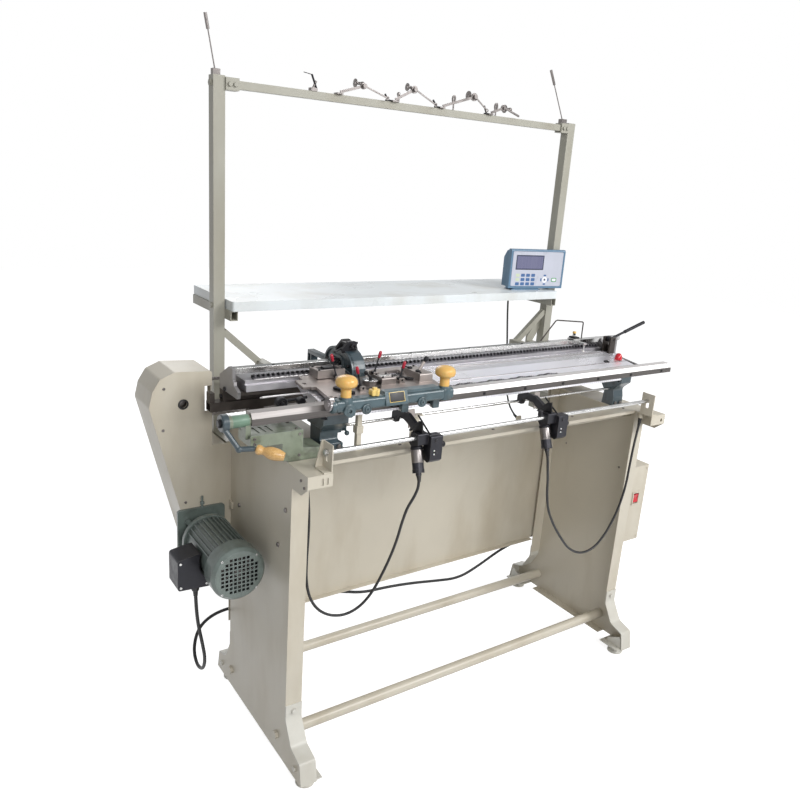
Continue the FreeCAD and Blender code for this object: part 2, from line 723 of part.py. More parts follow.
def lever_ears(x, y):
    z = plate_top(y)
    ears = []
    for y0 in (y - 12.4, y + 8.4):
        ears.append(prism([(x - 8, z - 4), (x - 8, z + 11.5, 4), (x + 8, z + 11.5, 4),
                           (x + 8, z - 4)], "xz", y0, y0 + 4))
    return ears


def carriage_plate():
    """Cam plate that rides over the front bed, with ears for its levers."""
    profile = [(15, 943), (15, 951), (60, 951), (188, 968), (188, 961), (64, 943)]
    plate = prism(profile, "yz", CARRIAGE_LEFT, CARRIAGE_RIGHT)
    plate = less(plate, box(CARRIAGE_LEFT - 1, 116, 36, 120, 930, 975))
    lug = prism([(124, 953.5), (124, 959.5), (168, 965.3), (168, 959)], "yz", 84, 118)
    pale = box(140, 216, 158, 203, 966, 986)
    pale = less(pale, box(150, 206, 165, 196, 982, 990))
    dial = rod((262, 112, 956), (262, 112, 966), 17)
    hump = prism([(90, 953), (90, 972, 4), (136, 972, 4), (136, 959)], "yz", 282, 324)
    side = prism([(84, 952), (84, 975, 4), (170, 975, 4), (170, 963)], "yz", 392, 432)
    stub = rod((412, 120, 973), (428, 118, 998), 4)
    pieces = [lug, pale, dial, hump, side, stub]
    for x, y, tip_x, top in LEVERS:
        pieces.extend(lever_ears(x, y))
    for x in (122, 150, 300, 380, 428):
        pieces.append(rod((x, 34, 951), (x, 34, 954), 5))
    body = join(plate, *pieces)
    cuts = [rod((97, 144, 950), (97, 144, 970), 5),
            prism([(226, 74, 4), (272, 74, 4), (272, 88, 4), (226, 88, 4)], "xy", 940, 962),
            prism([(340, 132, 4), (384, 132, 4), (384, 172, 4), (340, 172, 4)], "xy", 940, 975),
            rod((262, 112, 963), (262, 112, 970), 9)]
    for x, y, tip_x, top in LEVERS:
        z = lever_axis(y)
        cuts.append(rod((x, y - 13, z), (x, y + 13, z), 3.05))
    return less(body, *cuts)


def cam_lever(x, y, tip_x, top):
    """Lever leaning along the carriage from its cross pin to a plain tip."""
    z = lever_axis(y)
    way = V(tip_x - x, 0, top - z)
    reach = way.Length
    way.normalize()
    low = V(x, y, z) + way * (reach - 16)
    pin = rod((x, y - 12.4, z), (x, y + 12.4, z), 3.0)
    hub = rod((x, y - 6, z), (x, y + 6, z), 4.6)
    stem = rod((x, y, z), tuple(low + way * 2), 2.6)
    tip = turned([(0, 0), (4, 0), (5.5, 3, 1), (5.5, 13, 3), (0, 16)], tuple(low), tuple(way))
    return join(pin, hub, stem, tip)


def handle_casting():
    """Bar along the front of the carriage that carries both hand knobs."""
    bar = prism([(-15, 934, 8), (-15, 962, 9), (15, 962, 3), (15, 934, 5)], "yz", 100, 425)
    boss = join(rod((141, 0, 922), (141, 0, 936), 12), hexagon((141, 0, 917), (0, 0, 1), 12, 5))
    pads = [rod((x, 0, 960), (x, 0, 966), 16) for x in (128, 406)]
    rollers = []
    for x in (300, 392):
        rollers.append(box(x - 9, x + 9, 8, 15, 908, 940))
        rollers.append(box(x - 9, x + 9, 8, 26, 934, 942))
        rollers.append(rod((x, 21.5, 909), (x, 21.5, 936), 8))
    web = prism([(222, 962), (230, 970, 4), (380, 970, 4), (388, 962)], "xz", -10, 12)
    bar = join(bar, boss, web, *(pads + rollers))
    cuts = [rod((99, 4, 953), (114, 4, 953), 4.05), rod((204, 0, 944), (204, 0, 964), 5.05)]
    return less(bar, *cuts)


def bridge_arch():
    """Bridge over the throat and the feeder rail, with the arm that reaches the chain."""
    outer = [(150, 963), (150, 984, 8), (172, 1012, 14), (200, 1022, 20), (268, 1022, 26),
             (300, 990, 14), (300, 966.5), (267, 966.5), (267, 990, 9), (256, 998, 7),
             (215, 998, 7), (206, 990, 6), (206, 968.2), (188, 968)]
    arch = prism(outer, "yz", 232, 272)
    block = prism([(236, 1018), (236, 1045, 3), (264, 1045, 3), (264, 1018)], "xz", 190, 228)
    pin = rod((222, 200, 1036), (240, 200, 1036), 3)
    arm = box(242, 262, 296, 411, 968, 978)
    prongs = [box(242, 262, 388, 394.4, 914, 970), box(242, 262, 405.6, 411, 914, 970)]
    bolts = [hexagon((252, 160, z), (-1, 0, 0), 8, 3) for z in ()]
    arch = join(arch, block, pin, arm, *(prongs + bolts))
    hollow = prism([(160, 972, 4), (160, 984, 6), (176, 1003, 8), (198, 1003, 6), (198, 972, 4)],
                   "yz", 228, 236)
    return less(arch, hollow)


def handle_knob(x):
    return turned([(0, 0), (15, 0), (13, 6, 4), (12, 24, 4), (25, 28, 3), (27, 38, 6),
                   (20, 54, 12), (0, 56)], (x, 0, 966), (0, 0, 1))


def star_knob():
    lobes = []
    for k in range(5):
        angle = math.radians(72 * k)
        lobes.append(rod((204 + 9.5 * math.cos(angle), 9.5 * math.sin(angle), 964),
                         (204 + 9.5 * math.cos(angle), 9.5 * math.sin(angle), 976), 4.6))
    hub = rod((204, 0, 962.4), (204, 0, 981), 7)
    stem = rod((204, 0, 946), (204, 0, 964), 5)
    body = rod((204, 0, 964), (204, 0, 976), 10)
    return join(hub, stem, body, *lobes)


def knurled_knob():
    rim = []
    count = 24
    for k in range(count):
        for part, radius in ((0, 17), (0.5, 15.8)):
            angle = 2 * math.pi * (k + part) / count
            rim.append((4 + radius * math.cos(angle), 953 + radius * math.sin(angle)))
    disc = prism(rim, "yz", 84, 95)
    stem = rod((92, 4, 953), (112, 4, 953), 4)
    cap = rod((81, 4, 953), (84, 4, 953), 8)
    return join(disc, stem, cap)


# ---- racking -----------------------------------------------------------------

HUB_Y = 45.0
HUB_Z = 924.0
GRIP_START = V(-87, 0, 873)
GRIP_WAY = V(45, -35, -11)


def along_grip(distance):
    way = V(GRIP_WAY)
    way.normalize()
    return GRIP_START + way * distance


def racking_crank():
    hub = turned([(0, 0), (18, 0), (20, 3, 2), (20, 15), (9.95, 15), (9.95, 20), (0, 20)],
                 (-150, HUB_Y, HUB_Z), (1, 0, 0))
    bar = rod((-144, 36, 914), (-120, 14, 872), 6)
    elbow = Part.makeSphere(7.5, V(-120, 14, 872))
    start = along_grip(-3.2)
    link = rod((-120, 14, 872), (start.x, start.y, start.z), 6)
    end = along_grip(58)
    pin = rod((start.x, start.y, start.z), (end.x, end.y, end.z), 4)
    return join(hub, bar, elbow, link, pin)


def crank_grip():
    grip = turned([(4.06, 0), (9, 0), (11, 4, 3), (11, 9, 3), (8.6, 14, 3), (9.2, 18, 3),
                   (14, 29, 10), (14, 43, 12), (9, 59, 5), (9, 62), (3.5, 62), (3.5, 60.6),
                   (0, 60.6), (0, 59), (4.06, 59)],
                  (0, 0, 0), (0, 0, 1))
    base = along_grip(0.4)
    turn = FreeCAD.Rotation(V(0, 0, 1), V(GRIP_WAY))
    grip.Placement = FreeCAD.Placement(base, turn)
    return grip


def racking_gearbox():
    """Racking gear case with its pale sleeve reaching the end of the front rail."""
    case = prism([(-90, 866, 3), (-90, 894, 3), (37, 894, 4), (37, 850, 3), (90, 845, 4),
                  (90, 820), (0, 820), (0, 824), (-14, 824, 3), (-14, 866)], "xz", 24, 90)
    slots = [prism([(x, 892), (x + 6, 892), (x + 6, 900), (x, 900)], "xz", 38, 76)
             for x in (-68, -52, -36)]
    sleeve = rod((-130, HUB_Y, HUB_Z), (-84, HUB_Y, HUB_Z), 13)
    collar = rod((-134.6, HUB_Y, HUB_Z), (-126, HUB_Y, HUB_Z), 15)
    neck = box(-97, -84.5, 34, 56, 884, 920)
    case = join(less(case, *slots), sleeve, collar, neck)
    return less(case, rod((-140, HUB_Y, HUB_Z), (-120, HUB_Y, HUB_Z), 10))


# ---- rods and actuators ------------------------------------------------------

def rods():
    lower = join(rod((50, -50, 861), (1152, -50, 861), 5.5),
                 hexagon((52, -50, 861), (1, 0, 0), 15, 6),
                 hexagon((1146, -50, 861), (1, 0, 0), 15, 6))
    upper = rod((157, 70, 872), (1108, 70, 872), 3.75)
    return group(lower, upper)


def rod_bracket():
    upright = box(58.5, 61.5, -72, -28, 820, 883)
    foot = box(40, 61.5, -72, -28, 820, 823)
    gusset = prism([(61.5, 823), (61.5, 883), (54, 883), (40, 823)], "xz", -31, -28)
    bracket = join(upright, foot, gusset)
    return less(bracket, prism([(-55.6, 838, 5.5), (-44.4, 838, 5.5), (-44.4, 867, 5.5),
                                (-55.6, 867, 5.5)], "yz", 50, 70))


def rod_brackets():
    stand = join(box(184, 196, 34, 46, 820, 907), box(178, 202, 28, 50, 820, 824),
                 box(181, 199, 31, 49, 860, 878))
    strip = join(box(345, 372, 44, 47, 820, 886), box(345, 372, 24, 47, 820, 823),
                 box(345, 372, 30, 47, 883, 886))
    left = rod_bracket()
    return group(left, across(left), stand, strip)


def actuator(shift, hooked):
    """Yarn sensing unit: clamp, case, arm to the upper rod and its solenoid."""
    case = prism([(-75, 808, 3), (-75, 868, 4), (-45, 868, 3), (-45, 804, 3), (-66, 800, 4)],
                 "yz", 322, 357)
    clamp = prism([(-64, 846, 3), (-64, 874, 4), (-34, 874, 4), (-26, 846, 4), (-34, 838, 3)],
                  "yz", 292, 322)
    arm = prism([(-40, 860), (-44, 874), (14, 901, 6), (66, 901, 6), (82, 886, 5),
                 (82, 864, 4), (62, 864, 4), (56, 882, 6), (20, 882, 8), (-26, 856, 4)],
                "yz", 312, 322)
    knob = rod((357, -56, 838), (367, -56, 838), 6.5)
    screws = [rod((338, -75, z), (338, -77, z), 4) for z in (856, 826)]
    body = join(case, clamp, arm, knob, *screws)
    if hooked:
        hook = prism([(276, 866), (292, 858), (292, 868), (282, 874), (282, 882), (276, 880)],
                     "xz", -52, -40)
        body = join(body, hook)
    bores = [rod((270, -50, 861), (370, -50, 861), 5.5), rod((300, 70, 872), (330, 70, 872), 3.75)]
    body = less(body, *bores)
    top = V(307, -36, 846)
    low = V(300, -62.5, 786)
    way = low - top
    way.normalize()
    barrel = Part.makeCylinder(14, (low - top).Length, top, way)
    barrel = less(barrel, clamp, case)
    barrel = max(barrel.Solids, key=lambda s: s.Volume)
    cap = Part.makeCylinder(14.6, 9, low, way)
    end = low + way * 9
    plug = Part.makeCylinder(7, 6, end, way)
    cap = join(cap, plug)
    cap = less(cap, case)
    unit = group(body, barrel, max(cap.Solids, key=lambda s: s.Volume))
    unit.translate(V(shift, 0, 0))
    return unit


SOLENOID_END = V(300, -62.5, 786)
SOLENOID_WAY = V(-7, -26.5, -60)


def solenoid_cable_start(shift):
    way = V(SOLENOID_WAY)
    way.normalize()
    first = SOLENOID_END + way * 15
    second = first + way * 22
    return [(first.x + shift, first.y, first.z), (second.x + shift, second.y, second.z)]


# ---- switch, lever, feeder, cables -------------------------------------------

def switch_box():
    case = prism([(1200, 15), (1290, 15, 4), (1290, 75, 4), (1200, 75)], "xy", 350, 612)
    recess = box(1232, 1256, 10, 36, 484, 520)
    frame = less(box(1228, 1260, 12, 15, 480, 524), box(1232, 1256, 10, 16, 484, 520))
    gland = rod((1245, 45, 338), (1245, 45, 350), 9)
    screws = [rod((x, 13.5, z), (x, 15, z), 3.5) for x in (1210, 1280) for z in (360, 602)]
    case = join(less(case, recess), frame, gland, *screws)
    return less(case, rod((1230, 24, 502), (1258, 24, 502), 2.55))


def rocker_switch():
    body = prism([(12, 488, 1), (15, 502, 6), (12, 516, 1), (27, 514, 3), (27, 490, 3)],
                 "yz", 1232.4, 1255.6)
    pin = rod((1230.2, 24, 502), (1257.8, 24, 502), 2.5)
    return join(body, pin)


def hand_lever():
    pin = rod((1206, 165, 996), (1206, 195, 996), 4.0)
    hub = rod((1206, 171, 996), (1206, 189, 996), 9)
    bar = rod((1206, 180, 996), (1330, 180, 1034.2), 4)
    near = V(1272, 180, 1016.3)
    grip = rod((near.x, near.y, near.z), (1360.5, 180, 1043.5), 5.5)
    return join(pin, hub, bar, grip)


def yarn_feeder():
    """Carrier block on the feeder rail with its nozzle over the throat."""
    block = box(1090, 1118, 224.5, 253.5, 973, 994)
    arm = box(1098, 1110, 190, 226, 981, 987)
    nozzle = rod((1104, 194, 960), (1104, 194, 984), 2.5)
    eyelet = join(rod((1104, 240, 994), (1104, 240, 1004), 3), rod((1098, 240, 1004),
                                                                 (1110, 240, 1004), 2.4))
    body = join(block, arm, nozzle, eyelet)
    return less(body, box(1080, 1130, 227.94, 250.06, 975.94, 990.06))


def motor_cable():
    route = [(-143, 229, 438), (-142, 229, 388), (-137, 229, 330), (-126, 230, 272),
             (-116, 236, 216), (-113, 262, 166), (-114, 308, 152), (-108, 352, 178),
             (-78, 390, 214), (-20, 408, 232), (54, 402, 236), (134, 390, 236),
             (214, 381, 236), (296, 378, 226), (376, 378, 204), (452, 378, 180),
             (540, 378, 176), (640, 378, 164), (740, 378, 146), (840, 378, 130),
             (926, 378, 156), (1020, 378, 196), (1108, 384, 210), (1196, 396, 222),
             (1246, 360, 236), (1262, 284, 250), (1258, 204, 262), (1252, 128, 270),
             (1247, 72, 286), (1245, 45, 338)]
    return bent_tube("motor_cable", route[:-1] + [(1245, 46, 312), (1245, 45, 338)], 4.5)


def first_signal_cable():
    route = solenoid_cable_start(0) + [
        (286, -74, 722), (276, -62, 690), (272, -50, 645), (270, -38, 595), (262, -24, 540),
        (250, -10, 488), (232, 0, 440), (204, 8, 404), (166, 14, 388), (126, 20, 394),
        (92, 22, 418), (68, 22, 456), (56, 22, 505), (55, 22, 560), (57, 22, 615),
        (58, 22, 670), (55, 24, 722), (52, 27, 764), (52, 27, 805)]
    return bent_tube("first signal cable", route, 3.5)


def second_signal_cable():
    route = solenoid_cable_start(422) + [
        (720, -80, 722), (732, -74, 690), (742, -68, 645), (758, -64, 592), (790, -60, 540),
        (832, -58, 486), (878, -56, 436), (934, -54, 408), (988, -52, 410), (1026, -52, 438),
        (1058, -52, 482), (1083, -52, 536), (1100, -50, 596), (1108, -46, 658),
        (1122, -38, 714), (1140, -29, 756), (1150, -25, 800)]
    return bent_tube("second signal cable", route, 3.5)


def controller_cable():
    route = [(1014, 470, 1113.5), (1015, 468, 1066), (1019, 464, 1000), (1024, 460, 935),
             (1028, 456, 870), (1030, 450, 806), (1030, 436, 746), (1030, 406, 704),
             (1030, 371, 690)]
    return bent_tube("controller cable", route, 3.0)


def signal_cables():
    return group(first_signal_cable(), second_signal_cable(), controller_cable())


def cable_gland(x, y, low, high):
    return rod((x, y, low), (x, y, high), 7)


def build():
    os.makedirs("parts", exist_ok=True)
    panel = end_panel()
    save("left_end_panel", panel)
    save("right_end_panel", across(panel))
    gland = rod((1030, 359, 690), (1030, 371, 690), 7)
    save("rear_panel", join(rear_panel(), gland))
    save("front_cross_rail", front_cross_rail())
    save("cap_plates", group(join(left_cap(), cable_gland(52, 27, 805, 817)),
                             join(right_cap(), cable_gland(1150, -25, 800, 817))))
    save("tie_tubes", group(tie_tube(46), tie_tube(345)))
    foot, bolt = foot_bracket()
    feet = [foot, bolt, behind(foot), behind(bolt)]
    feet = feet + [across(f) for f in feet]
    save("foot_brackets", group(*feet))
    pad = levelling_foot()
    pads = [pad, behind(pad), across(pad), across(behind(pad))]
    save("levelling_feet", group(*pads))
    save("posts", group(post(-12.5, -1), post(1176, 1)))
    save("top_rail", top_rail())
    arm = shelf_arm()
    save("support_arms", group(left_brace(), right_brace(), right_gusset(), arm,
                               arm.translated(V(1138.5, 0, 0))))
    save("antennas", antennas())
    save("tension_brackets", tension_brackets())
    save("take_up_arm_1", take_up_arm(398, 1672, 472, 1650))
    save("take_up_arm_2", take_up_arm(561, 1682, 634, 1650))
    save("take_up_arm_3", take_up_arm(774, 1686, 822, 1654))
    save("shelf", shelf())
    save("controller_housing", controller_housing())
    save("controller_panel", controller_panel())
    save("belt_guard", belt_guard())
    save("motor_body", motor_body())
    save("motor_fan_cover", motor_fan_cover())
    save("motor_rotor", motor_rotor())
    save("terminal_box", terminal_box())
    save("motor_mount", motor_mount())
    save("drive_shaft", drive_shaft())
    save("drive_belt", drive_belt())
    save("drive_chain", drive_chain())
    save("idler_sprocket", idler_sprocket())
    save("bed_frame", bed_frame())
    save("front_needle_bed", front_needle_bed())
    save("rear_needle_bed", rear_needle_bed())
    save("needle_comb", needle_comb())
    save("front_slide_rail", front_slide_rail())
    save("feeder_rail", feeder_rail())
    save("left_support", left_support())
    save("right_support", right_support())
    save("carriage_plate", carriage_plate())
    save("handle_casting", handle_casting())
    save("bridge_arch", bridge_arch())
    save("handle_knobs", group(handle_knob(128), handle_knob(406)))
    save("star_knob", star_knob())
    save("knurled_knob", knurled_knob())
    for number, (x, y, tip_x, top) in enumerate(LEVERS, 1):
        save("cam_lever_%d" % number, cam_lever(x, y, tip_x, top))
    save("racking_crank", racking_crank())
    save("crank_grip", crank_grip())
    save("racking_gearbox", racking_gearbox())
    save("rods", rods())
    save("rod_brackets", rod_brackets())
    save("actuator_1", actuator(0, False))
    save("actuator_2", actuator(422, True))
    save("switch_box", switch_box())
    save("rocker_switch", rocker_switch())
    save("hand_lever", hand_lever())
    save("yarn_feeder", yarn_feeder())
    save("motor_cable", motor_cable())
    save("signal_cables", signal_cables())


build()
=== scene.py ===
"""Looks for a flat knitting machine: open stand, needle beds, cam carriage, drive and yarn rack."""
import math

import bmesh
import bpy
from mathutils import Matrix, Vector


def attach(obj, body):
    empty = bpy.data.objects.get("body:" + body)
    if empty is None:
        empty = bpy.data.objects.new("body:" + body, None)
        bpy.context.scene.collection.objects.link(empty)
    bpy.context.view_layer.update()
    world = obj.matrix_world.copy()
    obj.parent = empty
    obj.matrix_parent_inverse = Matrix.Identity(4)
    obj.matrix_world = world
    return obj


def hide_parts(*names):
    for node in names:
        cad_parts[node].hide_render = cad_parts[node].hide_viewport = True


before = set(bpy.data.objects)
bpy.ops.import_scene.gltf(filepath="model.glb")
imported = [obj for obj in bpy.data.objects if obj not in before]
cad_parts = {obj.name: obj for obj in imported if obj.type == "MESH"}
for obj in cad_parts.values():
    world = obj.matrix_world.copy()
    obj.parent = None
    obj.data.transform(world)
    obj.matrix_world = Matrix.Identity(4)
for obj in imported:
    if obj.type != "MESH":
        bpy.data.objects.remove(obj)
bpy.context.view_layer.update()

bl_info = {
    "name": "Flat Knitting Machine",
    "version": (1, 0, 0),
    "blender": (4, 5, 0),
    "location": "3D View > Sidebar > Knitting",
    "description": "Materials, small parts, cords and stage for a flat knitting machine",
    "category": "Object",
}

# the floor point under the middle of the machine, in the drawing's millimetres, where x = 0 is
# the left end panel, y = 0 its front edge and z = 0 the floor
MIDDLE_X = 576.5
MIDDLE_Y = 301.5


def spot(x, y, z):
    """A point of the drawing, in millimetres, as a place in the scene."""
    return Vector(((x - MIDDLE_X) / 1000, (y - MIDDLE_Y) / 1000, z / 1000))


def linear(code):
    """An sRGB hex value as a linear colour."""
    out = []
    for k in (1, 3, 5):
        c = int(code[k:k + 2], 16) / 255
        out.append(c / 12.92 if c <= 0.04045 else ((c + 0.055) / 1.055) ** 2.4)
    return tuple(out)


# ---- settings ----------------------------------------------------------------


def shade(label, code, about):
    return bpy.props.FloatVectorProperty(
        name=label, description=about, subtype="COLOR", size=3, min=0, max=1,
        default=linear(code))


def length(label, metres, about):
    return bpy.props.FloatProperty(
        name=label, description=about, default=metres, min=0, unit="LENGTH", precision=4)


class KnitterColours(bpy.types.PropertyGroup):
    stand: shade("Stand enamel", "#C9C2B2", "Sprayed enamel of the stand, posts and guard")
    feet: shade("Foot enamel", "#D0CEC5", "Paler enamel of the folded feet")
    shelf: shade("Shelf enamel", "#E6ECEE", "Cool pale enamel of the shelf")
    casting: shade("Casting enamel", "#43585F", "Blue-grey enamel of the iron castings")
    gear_case: shade("Gear case enamel", "#818A78", "Olive enamel of the racking gear case")
    motor: shade("Motor enamel", "#69746F", "Grey-green enamel of the motor")
    knob: shade("Hand knobs", "#E6B868", "Amber plastic of the two hand knobs")
    pad_case: shade("Control pad case", "#5F7E98", "Blue plastic of the control pad")
    lever_tip: shade("Lever tips", "#B01F36", "Red plastic of the cam lever tips")


class KnitterSizes(bpy.types.PropertyGroup):
    knob_radius: length("Hand knob radius", 0.0255, "Widest radius of a hand knob")
    needle_pitch: length("Needle pitch", 0.0065, "Distance between two drawn needles")
    lead: length("Motor lead radius", 0.0045, "Radius of the motor's lead")
    signal: length("Signal lead radius", 0.0035, "Radius of a sensing unit's lead")


# ---- materials ---------------------------------------------------------------


def wire(tree, node, **links):
    """Gives each named input, or i and its number, a value, a socket or a node's first output."""
    for key, value in links.items():
        socket = node.inputs[int(key[1:])] if key[1:].isdigit() else node.inputs[
            key.replace("_", " ")]
        if isinstance(value, bpy.types.Node):
            value = value.outputs[0]
        if isinstance(value, bpy.types.NodeSocket):
            tree.links.new(value, socket)
        else:
            socket.default_value = value


def add(tree, kind, settings=None, **links):
    """A node with its settings and its inputs."""
    made = tree.nodes.new(kind)
    for key, value in (settings or {}).items():
        setattr(made, key, value)
    wire(tree, made, **links)
    return made


RGBA = {"data_type": "RGBA"}
TINT = {"data_type": "RGBA", "blend_type": "MULTIPLY"}
TIMES = {"operation": "MULTIPLY"}


def start(name, **values):
    """A new material with its principled shader and the coordinates of its object."""
    material = bpy.data.materials.new(name)
    material.use_nodes = True
    tree = material.node_tree
    shader = tree.nodes["Principled BSDF"]
    wire(tree, shader, **values)
    return material, tree, shader, add(tree, "ShaderNodeTexCoord").outputs["Object"]


def dim(colour, share=1.0):
    return (*(min(1.0, c * share) for c in colour), 1.0)


def worn_edges(tree, radius):
    """1 along sharp outer edges, where paint is thin, and 0 on flats."""
    soft = add(tree, "ShaderNodeBevel", {"samples": 4}, Radius=radius)
    flat = add(tree, "ShaderNodeNewGeometry").outputs["Normal"]
    same = add(tree, "ShaderNodeVectorMath", {"operation": "DOT_PRODUCT"}, i0=soft, i1=flat)
    return add(tree, "ShaderNodeMapRange", None, Value=same.outputs["Value"], From_Min=0.98,
               From_Max=0.80)


def crevice_shade(tree, reach):
    """Painted shade mask: 1 in corners and grooves, where nearby parts close in, and 0 on open faces."""
    near = add(tree, "ShaderNodeAmbientOcclusion", {"samples": 4}, Distance=reach)
    return add(tree, "ShaderNodeMapRange", None, Value=near.outputs["AO"], From_Min=0.75,
               From_Max=0.30)


def sprayed_enamel(name, colour, rough=0.38, wear=0.35, grime=0.35):
    """Sprayed and baked enamel on sheet steel: satin, faint orange peel 1.6 mm across, pale
    primer along thin edges and brown shop grime in soft patches."""
    material, tree, shader, place = start(name, IOR=1.5, Coat_Weight=0.12, Coat_Roughness=0.25)
    # uneven film, about a hand wide
    cloud = add(tree, "ShaderNodeTexNoise", None, Vector=place, Scale=7.0, Detail=3.0)
    film = add(tree, "ShaderNodeMix", RGBA, i0=cloud, i6=dim(colour, 0.93), i7=dim(colour, 1.07))
    # grime runs down, so its patches are three times as high as they are wide
    tall = add(tree, "ShaderNodeMapping", None, Vector=place, Scale=(9.0, 9.0, 3.0))
    patch = add(tree, "ShaderNodeTexNoise", None, Vector=tall, Scale=1.0, Detail=6.0)
    dirt = add(tree, "ShaderNodeMapRange", None, Value=patch, From_Min=0.48, From_Max=0.72,
               To_Max=grime)
    film = add(tree, "ShaderNodeMix", TINT, i0=dirt, i6=film.outputs[2],
               i7=(0.60, 0.52, 0.40, 1))
    spots = add(tree, "ShaderNodeTexNoise", None, Vector=place, Scale=120.0, Detail=4.0)
    thin = add(tree, "ShaderNodeMapRange", None, Value=spots, From_Min=0.45, From_Max=0.65,
               To_Max=wear)
    rubbed = add(tree, "ShaderNodeMath", TIMES, i0=worn_edges(tree, 0.0012), i1=thin)
    base = add(tree, "ShaderNodeMix", RGBA, i0=rubbed, i6=film.outputs[2],
               i7=dim(linear("#E4E1D8")))
    haze = add(tree, "ShaderNodeMapRange", None, Value=cloud, From_Min=0.3, From_Max=0.7,
               To_Min=rough - 0.05, To_Max=rough + 0.08)
    peel = add(tree, "ShaderNodeTexNoise", None, Vector=place, Scale=600.0, Detail=1.0)
    soft = add(tree, "ShaderNodeBevel", {"samples": 4}, Radius=0.0009)
    bump = add(tree, "ShaderNodeBump", None, Strength=0.10, Distance=0.0004, Height=peel,
               Normal=soft)
    wire(tree, shader, Base_Color=base.outputs[2], Roughness=haze, Normal=bump)
    return material


def cast_iron_enamel(name, colour, stain=0.55):
    """Thick enamel over a sand casting: a soft grain about 3 mm wide and a wet gloss."""
    material, tree, shader, place = start(name, IOR=1.5, Roughness=0.33, Coat_Weight=0.3,
                                          Coat_Roughness=0.2)
    cloud = add(tree, "ShaderNodeTexNoise", None, Vector=place, Scale=40.0, Detail=4.0)
    film = add(tree, "ShaderNodeMix", RGBA, i0=cloud, i6=dim(colour, 0.72), i7=dim(colour, 1.28))
    chips = add(tree, "ShaderNodeMapRange", None, Value=cloud, From_Min=0.42, From_Max=0.6,
                To_Min=0.15, To_Max=0.9)
    rubbed = add(tree, "ShaderNodeMath", TIMES, i0=worn_edges(tree, 0.0018), i1=chips)
    base = add(tree, "ShaderNodeMix", RGBA, i0=rubbed, i6=film.outputs[2],
               i7=dim(linear("#98A2A6")))
    # oil stains in blots a thumb wide, and painted shade that darkens the corners near black
    blots = add(tree, "ShaderNodeTexNoise", None, Vector=place, Scale=34.0, Detail=6.0,
                Distortion=0.6)
    oily = add(tree, "ShaderNodeMapRange", None, Value=blots, From_Min=0.50, From_Max=0.66,
               To_Max=stain)
    base = add(tree, "ShaderNodeMix", TINT, i0=oily, i6=base.outputs[2],
               i7=(0.30, 0.26, 0.22, 1))
    corner_shade = add(tree, "ShaderNodeMath", TIMES, i0=crevice_shade(tree, 0.012), i1=0.75)
    base = add(tree, "ShaderNodeMix", TINT, i0=corner_shade, i6=base.outputs[2],
               i7=(0.22, 0.19, 0.17, 1))
    sand = add(tree, "ShaderNodeTexNoise", None, Vector=place, Scale=330.0, Detail=2.0)
    soft = add(tree, "ShaderNodeBevel", {"samples": 4}, Radius=0.0018)
    bump = add(tree, "ShaderNodeBump", None, Strength=0.25, Distance=0.0006, Height=sand,
               Normal=soft)
    wire(tree, shader, Base_Color=base.outputs[2], Normal=bump)
    return material


def ground_steel(name, colour, rough=0.30, stain=0.3):
    """Surface-ground machine steel: scratches a hand long and 1 mm apart along the machine, a
    silky shine, and grey oil stains."""
    material, tree, shader, place = start(name, Metallic=1.0)
    drawn = add(tree, "ShaderNodeMapping", None, Vector=place, Scale=(8.0, 1100.0, 1100.0))
    lines = add(tree, "ShaderNodeTexNoise", None, Vector=drawn, Scale=1.0, Detail=3.0)
    oil = add(tree, "ShaderNodeTexNoise", None, Vector=place, Scale=9.0, Detail=6.0)
    patch = add(tree, "ShaderNodeMapRange", None, Value=oil, From_Min=0.35, From_Max=0.65)
    base = add(tree, "ShaderNodeMix", RGBA, i0=patch, i6=dim(colour, 1.0 - stain),
               i7=dim(colour, 1.06))
    silk = add(tree, "ShaderNodeMapRange", None, Value=lines, From_Min=0.3, From_Max=0.7,
               To_Min=rough - 0.07, To_Max=rough + 0.12)
    soft = add(tree, "ShaderNodeBevel", {"samples": 4}, Radius=0.0006)
    bump = add(tree, "ShaderNodeBump", None, Strength=0.12, Distance=0.0003, Height=lines,
               Normal=soft)
    wire(tree, shader, Base_Color=base.outputs[2], Roughness=silk, Normal=bump)
    return material


def guide_rail_steel(name):
    """Drawn steel rail: its top and chamfer paler as a painted reflection, its front darker as painted shade."""
    material, tree, shader, place = start(name, Metallic=1.0)
    along = add(tree, "ShaderNodeSeparateXYZ", None, Vector=place)
    height = along.outputs[2]
    # painted reflection: the right part of the top is made paler still
    right_reflection = add(tree, "ShaderNodeMapRange", None, Value=along.outputs[0], From_Min=-0.2,
               From_Max=0.05)
    # the chamfer begins 929 mm above the floor
    run = add(tree, "ShaderNodeMapRange", None, Value=height, From_Min=0.9282, From_Max=0.9296)
    drawn = add(tree, "ShaderNodeMapping", None, Vector=place, Scale=(6.0, 900.0, 900.0))
    lines = add(tree, "ShaderNodeTexNoise", None, Vector=drawn, Scale=1.0, Detail=4.0)
    # painted shade: darker copies of the steel colour for the front face
    skin = add(tree, "ShaderNodeMix", RGBA, i0=lines, i6=dim(linear("#4E4B49")),
               i7=dim(linear("#787472")))
    # painted reflection: paler copies of the same steel for the top and chamfer
    shine = add(tree, "ShaderNodeMix", RGBA, i0=lines, i6=dim(linear("#7B7775")),
                i7=dim(linear("#A29E9C")))
    reflected_top = add(tree, "ShaderNodeMix", RGBA, i0=right_reflection, i6=shine.outputs[2],
                 i7=dim(linear("#DCD9D8")))
    base = add(tree, "ShaderNodeMix", RGBA, i0=run, i6=skin.outputs[2], i7=reflected_top.outputs[2])
    silk = add(tree, "ShaderNodeMapRange", None, Value=run, To_Min=0.45, To_Max=0.5)
    soft = add(tree, "ShaderNodeBevel", {"samples": 4}, Radius=0.0007)
    bump = add(tree, "ShaderNodeBump", None, Strength=0.15, Distance=0.0003, Height=lines,
               Normal=soft)
    wire(tree, shader, Base_Color=base.outputs[2], Roughness=silk, Normal=bump)
    return material


